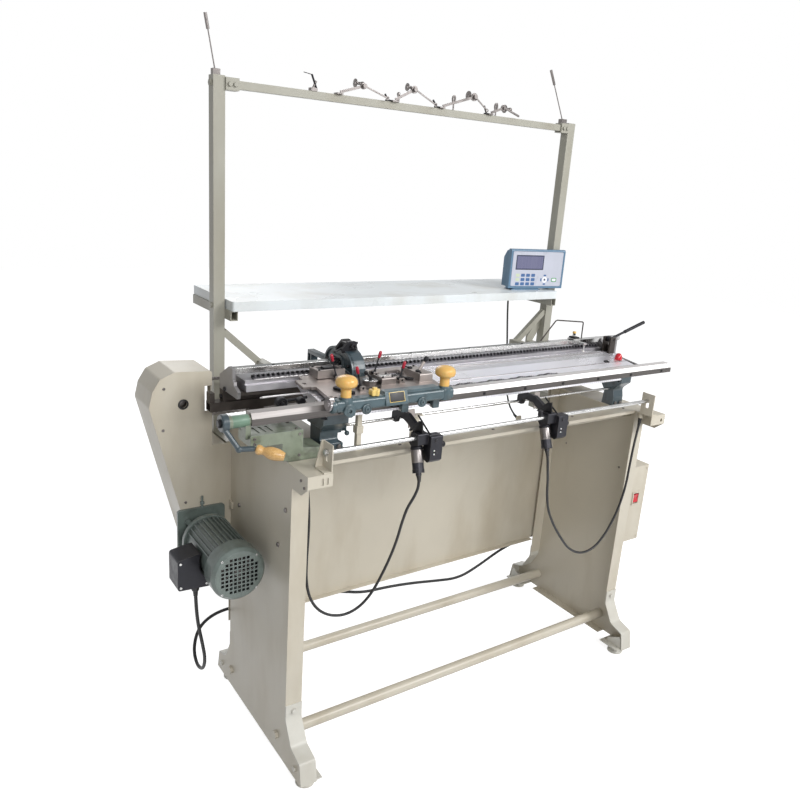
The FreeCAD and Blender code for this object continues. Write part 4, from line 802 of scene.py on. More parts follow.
class KNITTER_OT_carriage_parts(bpy.types.Operator):
    """Cam gear, screws, dial, nameplate blank and guide wheels of the carriage"""
    bl_idname = "knitter.carriage_parts"
    bl_label = "Carriage parts"

    def execute(self, context):
        # cap screws on the plate, the block at the rear and the bridge
        heads = bmesh.new()
        for x, y in ((122, 34), (150, 34), (300, 34), (380, 34), (428, 34)):
            socket_head(heads, spot(x, y, 953.8), (0, 0, 1), 4.2, 2.6)
        for x, y, z in ((289, 98, 972), (289, 128, 972), (317, 98, 972), (317, 128, 972),
                        (400, 94, 975), (400, 160, 975), (424, 160, 975), (146, 163, 986),
                        (210, 163, 986), (146, 198, 986), (210, 198, 986)):
            socket_head(heads, spot(x, y, z - 0.2), (0, 0, 1), 2.9, 2.8)
        for y, z in ((176, 986), (283, 984)):
            socket_head(heads, spot(236.2, y, z), (-1, 0, 0), 4.5, 5.4)
            socket_head(heads, spot(271.7, y, z), (1, 0, 0), 4.5, 4)
        piece("carriage_screws", heads, "black", "carriage", "ground_steel", 30)

        # black slide blocks, links and stitch cam slots beside the dial
        gear = bmesh.new()
        block(gear, 150, 206, 165, 196, 981.8, 984.2, 0.6)
        block(gear, 163, 193, 171, 190, 984, 990, 1.2)
        for x, y in ((345, 128), (358, 118), (371, 108)):
            lathe(gear, [(0, 0), (6.4, 0), (7, 0.8), (7, 5), (5.6, 6.4), (2.4, 6.4), (2.4, 3.4),
                         (0, 3.4)], spot(x, y, plate_top(y) - 0.4), (0, 0, 1), 20)
        slab(gear, [spot(333, 134, plate_top(130) + 1.6), spot(338, 141, plate_top(136) + 1.6),
                    spot(386, 103, plate_top(106) + 1.6), spot(381, 96, plate_top(100) + 1.6)],
             Vector((0, 0, 0.003)), 0.0006)
        slab(gear, [spot(148, 96, 956.4), spot(158, 100, 957), spot(188, 58, 951.2),
                    spot(178, 54, 950.8)], Vector((0, 0, 0.006)), 0.0006)
        lathe(gear, [(0, 0), (8.4, 0), (9, 1), (9, 3), (4, 3.4), (3.4, 12), (2.6, 13), (0, 13)],
              spot(262, 112, 962.6), (0, 0, 1), 24)
        bar(gear, spot(262, 112, 970), spot(243, 100, 985), 2.4)
        lathe(gear, [(0, 0), (3.2, 0), (5, 3), (5.2, 8), (3.6, 11), (0, 12)],
              spot(243.6, 100.4, 984.4), (-19, -12, 15), 20)
        for x, y in ((402, 108), (402, 146)):
            lathe(gear, [(0, 0), (7, 0), (7, 3.4), (5.8, 4.4), (2.6, 4.4), (2.6, 2), (0, 2)],
                  spot(x, y, 974.9), (0, 0, 1), 20)
        lathe(gear, [(0, 0), (4.2, 0), (6.2, 4), (6.4, 11), (4.6, 15), (0, 16)],
              spot(427.2, 118.1, 996.6), (16, -2, 25), 20)
        piece("cam_gear", gear, "black", "carriage", "ground_steel", 34)

        # bright washers, adjusting links and the scale of the dial
        bright = bmesh.new()
        lathe(bright, [(0, 0), (21, 0), (21, 1.2), (20, 1.8), (9.3, 1.8), (9.3, 0.4),
                       (0, 0.4)], spot(262, 112, 964.6), (0, 0, 1), 40)
        for x, y, z in ((345, 128, 6), (358, 118, 6), (371, 108, 6)):
            lathe(bright, [(0, 0), (2.2, 0), (2.2, 1), (0, 1.4)],
                  spot(x, y, plate_top(y) + 3), (0, 0, 1), 12)
        slab(bright, [spot(286, 106, 971.9), spot(320, 106, 971.9), spot(320, 118, 971.9),
                      spot(286, 118, 971.9)], Vector((0, 0, 0.0014)), 0.0005)
        for x in (300, 392):
            lathe(bright, [(0, 0), (8.3, 0), (8.7, 0.5), (8.7, 5), (7.4, 6), (7.4, 21),
                           (8.7, 22), (8.7, 26.5), (8.3, 27.2), (3.2, 27.2), (3.2, 25),
                           (0, 25)], spot(x, 21.5, 908.4), (0, 0, 1), 32)
        piece("bright_carriage_parts", bright, "bright", "carriage", "plated_steel", 34)

        # blank black plate in its pale rim, on the handle bar
        def on_slope(x0, x1, low, high, lift):
            """A plate on the sloped seat: its run along the bar, its reach up and its lift."""
            up, out = Vector((0, 0.36, 0.933)), Vector((0, -0.933, 0.36))
            foot = Vector((0, -19.5, 944.6))
            places = [(x0, low), (x1, low), (x1, high), (x0, high)]
            return [spot(x, *(foot + up * t + out * lift)[1:]) for x, t in places]

        rim = bmesh.new()
        slab(rim, on_slope(236, 279, 1.0, 25.0, 0.0), Vector((0, -0.00093, 0.00036)), 0.0002)
        piece("plate_rim", rim, "cream", "carriage", "cream_plastic")
        blank = bmesh.new()
        slab(blank, on_slope(237.4, 277.6, 2.2, 23.8, 0.9), Vector((0, -0.00056, 0.0002)), 0.0002)
        piece("blank_plate", blank, "dark_plastic", "carriage", "dark_plastic")

        # bosses under the hand knobs and the clamp end of the bar
        boss = bmesh.new()
        for x in (128, 406):
            lathe(boss, [(0, 0), (17.6, 0), (18.4, 2), (18.2, 20), (17, 27), (15.4, 31), (15, 33),
                         (0, 33)], spot(x, 0, 933.6), (0, 0, 1), 40)
        seat = [(-19.2, 938), (-19.2, 944.8), (-9.2, 970.8, 2), (-3, 971, 2), (-3, 938)]
        slab(boss, [spot(226, y, z) for y, z in rounded(seat)], Vector((0.062, 0, 0)), 0.001)
        lathe(boss, [(0, 0), (15.8, 0), (16.6, 2), (16.6, 9), (14.6, 12), (9, 13), (9, 16),
                     (0, 16)], spot(100.6, 0, 948), (-1, 0, 0), 36)
        lathe(boss, [(0, 0), (15.4, 0), (15.4, 3.6), (13.8, 5), (7, 5), (7, 6), (4.4, 6), (4.4, 3),
                     (0, 3)], spot(130, -14.6, 937), (0, -1, 0), 36)
        for x in (175, 330):
            lathe(boss, [(0, 0), (11.6, 0), (12.4, 0.8), (12.4, 3.6), (10.8, 4.6), (9.6, 3.2),
                         (6.4, 3.2), (5.4, 6), (2.6, 6), (2.6, 4), (0, 4)],
                  spot(x, -14.6, 936.6), (0, -1, 0), 32)
        piece("casting_bosses", boss, "casting", "carriage", "casting_paint", 34)
        return {"FINISHED"}


class KNITTER_OT_bridge(bpy.types.Operator):
    """Cast arch over the throat with its fork for the chain, and the clamp on its top"""
    bl_idname = "knitter.bridge"
    bl_label = "Bridge arch"

    def execute(self, context):
        arch = bmesh.new()
        outline = [(150, 963), (150, 1023.5, 56), (300, 1022, 54), (300, 966.5), (267, 966.5),
                   (267, 998, 14), (206, 998, 14), (206, 968.2), (188, 968)]
        inside = [(156.5, 969.5), (156.5, 1017, 49), (293.5, 1015.5, 47), (293.5, 973),
                  (273.5, 973), (273.5, 1004.5, 20), (199.5, 1004.5, 20), (199.5, 974.5),
                  (188, 974.5)]
        slab(arch, [spot(236, y, z) for y, z in rounded(outline, 9)], Vector((0.0356, 0, 0)),
             0.003)
        # rim round the cast hollow of the left face
        rings = [[arch.verts.new(spot(x, y, z)) for y, z in rounded(line, 9)]
                 for x, line in ((241, outline), (232.4, outline), (232.4, inside),
                                 (236.4, inside))]
        for low, high in zip(rings[:-1], rings[1:]):
            for k in range(len(low)):
                j = (k + 1) % len(low)
                arch.faces.new((low[k], low[j], high[j], high[k]))
        block(arch, 242, 262, 296, 411, 968, 978, 0.0012)
        block(arch, 242, 262, 388, 394.4, 914, 970, 0.0008)
        block(arch, 242, 262, 405.6, 411, 914, 970, 0.0008)
        made = piece("cast_bridge", arch, "dark_casting", "carriage", "casting_paint", 34)
        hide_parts("bridge_arch")

        clamp = bmesh.new()
        cheek = rounded([(224, 1017), (224, 1026, 3), (241, 1045, 3), (262, 1045, 3),
                         (267, 1038, 3), (264, 1017)])
        slab(clamp, [spot(x, 191, z) for x, z in cheek], Vector((0, 0.008, 0)), 0.0008)
        slab(clamp, [spot(x, 219, z) for x, z in cheek], Vector((0, 0.008, 0)), 0.0008)
        block(clamp, 236, 264, 197, 221, 1018, 1042, 0.001)
        bar(clamp, spot(230, 204, 1027), spot(213, 200, 1021), 2.2)
        bar(clamp, spot(214.5, 200.4, 1021.4), spot(205, 200, 1021.2), 1.5, 10)
        lathe(clamp, [(0, 0), (7, 0), (7.6, 1), (7.6, 6), (6.4, 7), (3, 7), (3, 3.4), (0, 3.4)],
              spot(254, 191.4, 1033), (0, -1, 0), 28)
        bar(clamp, spot(262, 205, 1036), spot(276, 205, 1037.6), 3.2, 14)
        socket_head(clamp, spot(250, 209, 1041.6), (0, 0, 1), 5, 3)
        bar(clamp, spot(271, 200, 1030), spot(275, 200, 1014), 1.3, 8)
        made = piece("bridge_clamp", clamp, "black", "carriage", "ground_steel", 34)
        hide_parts("bridge_arch")
        return {"FINISHED"}


class KNITTER_OT_chain(bpy.types.Operator):
    """Roller chain between the drive sprocket and the idler"""
    bl_idname = "knitter.chain"
    bl_label = "Chain"

    def execute(self, context):
        left, right, height, radius = -125.0, 1262.0, 874.0, 46.9
        run = right - left
        total = 2 * run + 2 * math.pi * radius
        count = int(total / 12.7 / 2) * 2
        step = total / count
        centre_y = 400.0

        def along(distance):
            d = distance % total
            if d < run:
                return left + d, height + radius
            d -= run
            if d < math.pi * radius:
                a = d / radius
                return right + radius * math.sin(a), height + radius * math.cos(a)
            d -= math.pi * radius
            if d < run:
                return right - d, height - radius
            a = (d - run) / radius
            return left - radius * math.sin(a), height - radius * math.cos(a)

        shape = bmesh.new()
        for k in range(count):
            x0, z0 = along(k * step)
            x1, z1 = along((k + 1) * step)
            way = Vector((x1 - x0, 0, z1 - z0)).normalized()
            off = Vector((-way.z, 0, way.x))
            a = Vector((x0, 0, z0))
            b = Vector((x1, 0, z1))
            out = (3.6, 4.6) if k % 2 else (2.4, 3.4)
            for side in (-1, 1):
                y0 = centre_y + side * out[0]
                lift = Vector((0, side * (out[1] - out[0]) / 1000, 0))
                ring = []
                for centre, sign in ((a, -1), (b, 1)):
                    for turn in (-60, 0, 60):
                        t = math.radians(turn)
                        p = centre + (way * math.cos(t) * sign + off * math.sin(t)) * 4.1
                        ring.append(spot(p.x, y0, p.z))
                waist = (a + b) / 2
                ring.insert(3, spot((waist + off * 2.6).x, y0, (waist + off * 2.6).z))
                ring[4:] = [ring[6], ring[5], ring[4]]
                ring.append(spot((waist - off * 2.6).x, y0, (waist - off * 2.6).z))
                slab(shape, ring, lift)
            lathe(shape, [(0, 0), (3.9, 0), (3.9, 4.8), (0, 4.8)], spot(x0, centre_y - 2.4, z0),
                  (0, 1, 0), 8)
            lathe(shape, [(0, 0), (1.7, 0), (1.7, 9.9), (0, 9.9)],
                  spot(x0, centre_y - 4.95, z0), (0, 1, 0), 6)
        made = piece("roller_chain", shape, "dull", "frame", "ground_steel", 40)
        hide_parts("drive_chain")
        return {"FINISHED"}


class KNITTER_OT_needles(bpy.types.Operator):
    """Needle butts, needle hooks and the sinker edge of the front bed"""
    bl_idname = "knitter.needles"
    bl_label = "Needles"

    def execute(self, context):
        pitch = context.scene.knitter_sizes.needle_pitch * 1000
        count = int((1170 - 108) / pitch)
        butts = bmesh.new()
        hooks = bmesh.new()
        for k in range(count):
            x = 108 + k * pitch
            # needles in work stand in uneven groups, and those out of work are drawn back
            y = 73 + 2.6 * math.sin(k * 0.41) + 1.8 * math.sin(k * 1.13)
            if x < 872:
                z = bed_top(y)
                slab(butts, [spot(x - 1.5, y - 1.8, z - 0.4), spot(x + 1.5, y - 1.8, z - 0.4),
                             spot(x + 1.5, y + 1.8, z + 0.4), spot(x - 1.5, y + 1.8, z + 0.4)],
                     Vector((0, 0, 0.0026)))
            bar(hooks, spot(x, 150, bed_top(150) + 0.5), spot(x, 191, bed_top(187) + 0.7), 0.7, 6)
            bar(hooks, spot(x, 190.6, bed_top(187) + 0.6), spot(x, 191.4, bed_top(187) + 2.6),
                0.6, 6)
        piece("needle_butts", butts, "black", "frame", "ground_steel")
        piece("needle_hooks", hooks, "bright", "frame", "plated_steel")
        edge = bmesh.new()
        block(edge, 101, 1206, 176, 181, bed_top(176) + 0.2, bed_top(181) + 1.5, 0.3)
        block(edge, 101, 1206, 101, 105, bed_top(101) - 0.4, bed_top(105) + 1.0, 0.3)
        piece("bed_strips", edge, "ground", "frame", "ground_steel")
        # a black strip behind the needle rack stands for painted shade
        shade_strip = bmesh.new()
        block(shade_strip, -4, 1192, 222.4, 226.6, 964.4, 972.4, 0.4)
        piece("painted_shade_strip", shade_strip, "black", "rear_bed", "ground_steel")
        rack = bmesh.new()
        for k in range(34):
            block(rack, -2 + 6.2 * k, 1.4 + 6.2 * k, 199.6, 204, 963.6, 967.2, 0.3)
        block(rack, -4, 209, 203, 209, 963.6, 967, 0.3)
        piece("needle_rack", rack, "rack", "rear_bed", "plated_steel")
        return {"FINISHED"}


class KNITTER_OT_bed_parts(bpy.types.Operator):
    """Screws, scale strip, wheels and lamp of the beds and rails"""
    bl_idname = "knitter.bed_parts"
    bl_label = "Bed parts"

    def execute(self, context):
        heads = bmesh.new()
        for x in range(130, 1300, 145):
            socket_head(heads, spot(x, 30.2, 921), (0, -1, 0), 4.6, 1.4)
        for x in range(60, 1290, 205):
            socket_head(heads, spot(x, 239, 989.9), (0, 0, 1), 3.4, 1.2)
        for x in (34, 46, 1134, 1146):
            hex_head(heads, spot(x, 289.8, 850), (0, -1, 0), 13, 5)
        for y, z in ((90, 922), (150, 926), (272, 930), (296, 905)):
            if y > 200:
                hex_head(heads, spot(-49.8, y, z), (-1, 0, 0), 10, 4.5)
            hex_head(heads, spot(1222.8, y, z), (1, 0, 0), 10, 4.5)
        piece("bed_bolts", heads, "black", "frame", "ground_steel", 30)

        lens = bmesh.new()
        lathe(lens, [(0, 0), (11.4, 0), (11.8, 3), (11, 9), (8.8, 15), (5.4, 19), (0, 20.6)],
              spot(1184, 118, 945.4), (0, 0, 1), 32)
        piece("lamp_lens", lens, "lamp", "frame", "red_plastic", 60)

        ends = bmesh.new()
        block(ends, -17, 100, 126, 134, 942, 945.4, 0.5)
        block(ends, -17, 99, 139, 144, 938, 940.6, 0.5)
        piece("left_end_strips", ends, "rack", "frame", "plated_steel")
        wheels = bmesh.new()
        lathe(wheels, [(5, 0), (13, 0), (14.6, 1.6), (14.6, 14.4), (13, 16), (9, 16), (8, 14),
                       (5, 14)], spot(24, 124, 930), (0, -1, 0), 36)
        lathe(wheels, [(0, 0), (8.6, 0), (9.8, 1.2), (9.8, 13.8), (8.6, 15), (0, 15)],
              spot(68, 110, 934), (0, -1, 0), 28)
        bar(wheels, spot(24, 134, 930), spot(24, 104, 930), 5, 18)
        bar(wheels, spot(24, 126, 930), spot(96, 126, 934), 3.4, 12)
        lathe(wheels, [(4.6, 0), (8.6, 0), (9, 0.8), (9, 2.2), (8.2, 3), (4.6, 3)],
              spot(1121, 110, 943.6), (0, -0.16, 1), 28)
        piece("left_end_wheels", wheels, "black", "frame", "ground_steel", 40)

        scale = bmesh.new()
        slab(scale, [spot(102, 64, 936.5), spot(1044, 64, 936.5), spot(1044, 72, 937.9),
                     spot(102, 72, 937.9)], Vector((0, 0, 0.0005)))
        slab(scale, [spot(1076, 64, 936.5), spot(1205, 64, 936.5), spot(1205, 72, 937.9),
                     spot(1076, 72, 937.9)], Vector((0, 0, 0.0005)))
        piece("edge_strip", scale, "bright", "frame", "plated_steel")
        return {"FINISHED"}


class KNITTER_OT_tension_parts(bpy.types.Operator):
    """Tension discs, springs, thumb nuts and eyelets on the top rail"""
    bl_idname = "knitter.tension_parts"
    bl_label = "Tension parts"

    def execute(self, context):
        discs = bmesh.new()
        springs = bmesh.new()
        for x, z, size in ((375, 1671, 1.15), (541, 1680, 1.1), (757, 1682, 1.35),
                           (899, 1660, 1.25)):
            y = 451.0
            block(discs, x - 3, x + 4, 444, 454, z + 1, z + 9, 0.6)
            at = spot(x - 2, y, z + 7)
            lathe(discs, [(0, 0), (2.1, 0), (2.1, 33), (0, 33)], at, (1, 0, 0), 12)
            for shift, flip in ((2, 1), (6, -1)):
                cup = [(2.0, 0), (5.5 * size, 0), (8.6 * size, 1.5 * flip),
                       (9.4 * size, 1.2 * flip), (9.4 * size, 1.9 * flip),
                       (8.2 * size, 2.3 * flip), (5.2 * size, 0.8 * flip), (2.0, 0.8 * flip)]
                lathe(discs, cup, at + Vector((shift / 1000, 0, 0)), (1, 0, 0), 28)
            lathe(discs, [(2.1, 0), (5.4, 0.5), (5.8, 2), (5.8, 6.4), (4.8, 8), (2.1, 8.4)],
                  at + Vector((0.022, 0, 0)), (1, 0, 0), 20)
            # coil spring between the discs and the nut
            last = None
            for k in range(49):
                t = k / 8 * 2 * math.pi
                here = at + Vector((0.0088 + 0.0131 * k / 48, 0.0038 * math.cos(t),
                                    0.0038 * math.sin(t)))
                if last is not None:
                    lathe(springs, [(0.55, 0), (0.55, (here - last).length * 1000)], last,
                          here - last, 5)
                last = here
        piece("tension_discs", discs, "fitting", "frame", "plated_steel", 40)
        piece("tension_springs", springs, "dull", "frame", "ground_steel", 60)

        guides = bmesh.new()
        for x, z in ((703, 1673), (863, 1669)):
            bar(guides, spot(x, 446, 1644.2), spot(x, 446, z - 8), 2.2)
            ring = [(x + 5.4 * math.cos(a), z + 11 * math.sin(a)) for a in
                    [2 * math.pi * k / 20 for k in range(20)]]
            hole = [(x + 3.2 * math.cos(a), z + 8.2 * math.sin(a)) for a in
                    [2 * math.pi * k / 20 for k in range(20)]]
            faces = []
            for y in (442.5, 449.5):
                faces.append(([guides.verts.new(spot(p[0], y, p[1])) for p in ring],
                              [guides.verts.new(spot(p[0], y, p[1])) for p in hole]))
            (o0, i0), (o1, i1) = faces
            for k in range(20):
                j = (k + 1) % 20
                guides.faces.new((o0[k], o0[j], i0[j], i0[k]))
                guides.faces.new((o1[k], i1[k], i1[j], o1[j]))
                guides.faces.new((o0[k], o1[k], o1[j], o0[j]))
                guides.faces.new((i0[k], i0[j], i1[j], i1[k]))
        bar(guides, spot(512.5, 446, 1644.2), spot(512.5, 446, 1663), 3.4, 18)
        lathe(guides, [(0, 0), (4.4, 0), (4.8, 2), (4.6, 6), (3, 8), (0, 8.4)],
              spot(512.5, 446, 1662), (0, 0, 1), 20)
        piece("yarn_eyelets", guides, "fitting", "frame", "plated_steel", 40)

        clamps = bmesh.new()
        for x, z, x1, z1 in ((264, 1650, 249, 1684), (472, 1662, 484, 1645),
                             (634, 1664, 650, 1645), (822, 1668, 834, 1645)):
            bar(clamps, spot(x, 452, z), spot(x1, 452, z1), 2.6)
        for x in (484, 650, 834):
            block(clamps, x - 7, x + 7, 447, 459, 1643.8, 1649, 0.6)
        bar(clamps, spot(249, 452, 1683), spot(226, 452, 1686), 1.0, 8)
        piece("rack_clips", clamps, "black", "frame", "ground_steel")
        return {"FINISHED"}


def pad_spot(x, y, z):
    """A point on the control pad, given along its own width, depth and height."""
    t = math.radians(-8.5)
    return spot(998 + x * math.cos(t) - y * math.sin(t), 456 + x * math.sin(t)
                + y * math.cos(t), 1116 + z)


def key_cap(shape, x, z, wide, high, front=-0.35, back=0.6, radius=2.0):
    corners = []
    for cx, cz, a0 in ((x + wide - radius, z + high - radius, 0), (x + radius, z + high - radius,
                       90), (x + radius, z + radius, 180), (x + wide - radius, z + radius, 270)):
        for k in range(4):
            a = math.radians(a0 + 30 * k)
            corners.append(pad_spot(cx + radius * math.cos(a), front,
                                    cz + radius * math.sin(a)))
    depth = pad_spot(0, back, 0) - pad_spot(0, front, 0)
    slab(shape, corners, depth)


class KNITTER_OT_pad_parts(bpy.types.Operator):
    """Display window, keys and blank fields of the control pad"""
    bl_idname = "knitter.pad_parts"
    bl_label = "Control pad parts"

    def execute(self, context):
        blue = bmesh.new()
        pale = bmesh.new()
        for row in range(3):
            for column in range(4):
                shape = pale if row and not column else blue
                key_cap(shape, 25 + 20.4 * column, 15.6 + 14.2 * row, 15, 10)
        for x, z in ((136.4, 46.4), (136.4, 17.4)):
            key_cap(blue, x, z, 10.2, 5.2, radius=2.0)
        for x, z in ((124.4, 29.4), (153.2, 29.4)):
            key_cap(blue, x, z, 5.2, 10.2, radius=2.0)
        piece("blue_keys", blue, "key_dark", "frame", "panel_film")
        piece("pale_keys", pale, "key_pale", "frame", "panel_film")
        ring = bmesh.new()
        key_cap(ring, 131.3, 24.3, 20.4, 20.4, -0.4, 0.6, 10.1)
        key_cap(ring, 172, 29.8, 15.4, 8.8, -0.6, 0.4, 3.0)
        piece("round_key", ring, "key_ring", "frame", "panel_film", 20)
        green = bmesh.new()
        key_cap(green, 169.2, 27.4, 21, 13.6, radius=4.0)
        piece("green_key", green, "key_green", "frame", "panel_film")
        dot = bmesh.new()
        key_cap(dot, 138, 31, 7, 7, -0.7, 0.3, 3.4)
        key_cap(dot, 20.8, 67, 110.4, 48, -0.3, 0.6, 1.6)
        piece("dark_fields", dot, "glass_rim", "frame", "panel_film")
        window = bmesh.new()
        key_cap(window, 24.6, 70.8, 102.8, 40.4, -0.5, 0.4, 1.0)
        piece("display_pane", window, "screen", "frame", "panel_film")
        # the printed film lies over the raised fields of the solid
        film = bmesh.new()
        key_cap(film, 7.6, 13.6, 200.8, 112.8, -0.1, 1.3, 4.6)
        piece("printed_film", film, "pad_front", "frame", "panel_film")
        return {"FINISHED"}


class KNITTER_OT_rear_sheet(bpy.types.Operator):
    """Folded rear panel: low in the middle, high at the corners where the posts are bolted"""
    bl_idname = "knitter.rear_sheet"
    bl_label = "Rear panel"

    def execute(self, context):
        shape = bmesh.new()
        outline = rounded([
            (0, 220), (1200, 220), (1200, 815), (1156, 815), (1156, 680, 12), (1042, 680, 4),
            (1042, 702, 6), (1018, 702, 6), (1018, 680, 4), (44, 680, 12), (44, 815), (0, 815)])
        slab(shape, [spot(x, 369, z) for x, z in outline], Vector((0, 0.002, 0)), 0.0003)
        block(shape, 50, 1150, 351, 371, 220, 222, 0.3)
        block(shape, 58, 1014, 351, 371, 678, 680, 0.3)
        block(shape, 1046, 1142, 351, 371, 678, 680, 0.3)
        made = piece("rear_sheet", shape, "stand", "frame", "frame_paint", 30)
        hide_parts("rear_panel")
        return {"FINISHED"}


class KNITTER_OT_stand_bolts(bpy.types.Operator):
    """Bolts and screws of the stand, the guard and the supports"""
    bl_idname = "knitter.stand_bolts"
    bl_label = "Stand bolts"

    def execute(self, context):
        heads = bmesh.new()
        for side in (0, 1):
            for y, z in ((61, 600), (296, 604), (26, 703)):
                x = -1.6 if side == 0 else 1201.6
                hex_head(heads, spot(x + (1.8 if side == 0 else -1.8), y, z),
                         (-1 if side == 0 else 1, 0, 0), 10, 4.4)
            for z in (790, 802):
                x = 1.5 if side == 0 else 1198.5
                socket_head(heads, spot(x - (0.9 if side == 0 else -0.9) * 2, -60 + 16 * (z - 790)
                            / 12, z), (-1 if side == 0 else 1, 0, 0), 3.4, 2)
        for x in (80, 300, 600, 900, 1120):
            socket_head(heads, spot(x, 20, 819.8), (0, 0, 1), 4, 2)
        for x, z in ((-172, 918), (-176, 812), (-122, 610), (-84, 470)):
            socket_head(heads, spot(x, 357.2, z), (0, -1, 0), 3.6, 2)
        for x, y in ((102, 72), (146, 72), (1118, 72), (1140, 72)):
            hex_head(heads, spot(x, 52.6, 828), (0, -1, 0), 10, 4.5)
        piece("stand_screws", heads, "dull", "frame", "ground_steel", 30)
        ring = bmesh.new()
        lathe(ring, [(8.9, 0), (13, 0), (13.4, 1.2), (12, 2.4), (9.4, 2.4), (8.9, 1.4)],
              spot(-125, 357.2, 874), (0, -1, 0), 32)
        piece("guard_bush", ring, "rubber", "frame", "rubber", 50)
        return {"FINISHED"}


class KNITTER_OT_racking_parts(bpy.types.Operator):
    """Green sleeve, screws and crank nut of the racking gear"""
    bl_idname = "knitter.racking_parts"
    bl_label = "Racking parts"

    def execute(self, context):
        sleeve = bmesh.new()
        lathe(sleeve, [(0, 0), (13.4, 0), (14, 1), (14, 37), (13.4, 38), (0, 38)],
              spot(-126, 45, 924), (1, 0, 0), 40)
        piece("sleeve_cover", sleeve, "sleeve", "frame", "gearbox_paint", 40)
        heads = bmesh.new()
        for x, z in ((-80, 886), (-80, 874), (28, 884), (28, 834), (98, 832)):
            socket_head(heads, spot(x, 24.2, z), (0, -1, 0), 3.4, 2.4)
        for x, y in ((24, 34), (24, 80), (-80, 80)):
            socket_head(heads, spot(x, y, 893.8), (0, 0, 1), 3.4, 3)
        piece("gear_case_screws", heads, "dull", "frame", "ground_steel", 30)
        nut = bmesh.new()
        hex_head(nut, spot(-149.8, 45, 924), (-1, 0, 0), 17, 6)
        piece("crank_nut", nut, "black", "racking_handle", "ground_steel", 30)
        return {"FINISHED"}


class KNITTER_OT_unit_parts(bpy.types.Operator):
    """Screws, knobs and plated sleeves of the two sensing units"""
    bl_idname = "knitter.unit_parts"
    bl_label = "Sensing unit parts"

    def execute(self, context):
        white = bmesh.new()
        steel = bmesh.new()
        black = bmesh.new()
        pale = bmesh.new()
        for shift in (0, 422):
            for z in (832, 823):
                lathe(white, [(0, 0), (2.1, 0), (2.2, 0.8), (1.7, 1.8), (0, 2.2)],
                      spot(333 + shift, -74.9, z), (0, -1, 0), 20)
            # hooked feeler plate, its link and the pale guard beside the arm
            feeler = [(-5, 866), (-43, 900), (-58, 904), (-62, 876), (-30, 862), (-20, 846),
                      (-6, 843), (-12, 852), (-26, 861), (-22, 870), (-12, 865)]
            slab(black, [spot(304 + shift, y, z) for y, z in feeler], Vector((0.003, 0, 0)),
                 0.0004)
            bar(black, spot(325 + shift, -12, 903), spot(325 + shift, -64, 871), 2.2)
            guard = [(321.8, 906), (341, 906), (344.5, 886), (335.5, 864), (326, 857),
                     (321.8, 884)]
            slab(pale, [spot(x + shift, 26, z) for x, z in guard], Vector((0, 0.0016, 0)),
                 0.0003)
            way = Vector((-7, -26.5, -60)).normalized()
            top = spot(307 + shift, -36, 846)
            lathe(steel, [(14.2, 20), (14.5, 21), (14.5, 50), (14.2, 51), (13.8, 51),
                          (13.8, 20)], top, way, 40)
            lathe(black, [(14.4, 12), (15.2, 13), (15.2, 18), (14.4, 19)], top, way, 36)
            lathe(black, [(0, 0), (6.6, 0), (7.6, 1), (7.6, 7), (6.4, 9), (0, 9.4)],
                  spot(366.8 + shift, -56, 838), (1, 0, 0), 18)
            for y, z in ((12, 893), (60, 893), (74, 874)):
                socket_head(black, spot(322.2 + shift, y, z), (1, 0, 0), 3.2, 2.4)
            bar(steel, spot(317 + shift, -30, 858), spot(317 + shift, 60, 889), 1.2, 8)
        piece("unit_screws", white, "white", "frame", "white_plastic", 50)
        piece("coil_sleeves", steel, "fitting", "frame", "plated_steel", 50)
        piece("unit_guards", pale, "cam_plate", "frame", "plated_steel")
        piece("unit_knobs", black, "black", "frame", "ground_steel", 40)
        return {"FINISHED"}


class KNITTER_OT_motor_parts(bpy.types.Operator):
    """Screws and gland nut of the motor"""
    bl_idname = "knitter.motor_parts"
    bl_label = "Motor parts"

    def execute(self, context):
        heads = bmesh.new()
        for k in range(4):
            a = math.radians(45 + 90 * k)
            socket_head(heads, spot(-80 + 61 * math.cos(a), 102.5, 520 + 61 * math.sin(a)),
                        (0, -1, 0), 3.0, 2.6)
        for x, z in ((-190, 464), (-190, 528), (-126, 528), (-126, 462)):
            socket_head(heads, spot(x, 196.2, z), (0, -1, 0), 3.4, 2.6)
        piece("motor_screws", heads, "bright", "frame", "plated_steel", 30)
        nut = bmesh.new()
        lathe(nut, [(4.6, 0), (8.4, 0), (9.4, 2), (9.4, 9), (8.6, 11), (4.6, 11)],
              spot(-143, 229, 429), (0, 0, 1), 24)
        piece("gland_nut", nut, "dark_plastic", "frame", "dark_paint", 40)
        return {"FINISHED"}


class KNITTER_OT_reliefs(bpy.types.Operator):
    """Tapered strain reliefs where the leads leave their housings"""
    bl_idname = "knitter.reliefs"
    bl_label = "Strain reliefs"

    def execute(self, context):
        shape = bmesh.new()
        routes = ((MOTOR_ROUTE, 4.5), (FIRST_SIGNAL_ROUTE, 3.5), (SECOND_SIGNAL_ROUTE, 3.5),
                  (PAD_ROUTE, 3.0))
        for route, radius in routes:
            for first, second in ((route[0], route[1]), (route[-1], route[-2])):
                base = spot(*first)
                way = (spot(*second) - base).normalized()
                reach = min(26.0, (spot(*second) - base).length * 700)
                profile = [(0, 0), (radius + 2.6, 0)]
                steps = 5
                for k in range(steps):
                    near = reach * (0.12 + 0.88 * k / steps)
                    r = radius + 2.4 - 1.7 * k / steps
                    profile += [(r, near), (r, near + reach * 0.09),
                                (r - 0.7, near + reach * 0.10), (r - 0.7, near + reach * 0.16)]
                profile += [(0, reach)]
                lathe(shape, profile, base, way, 18)
        piece("strain_reliefs", shape, "rubber", "frame", "rubber", 40)
        return {"FINISHED"}


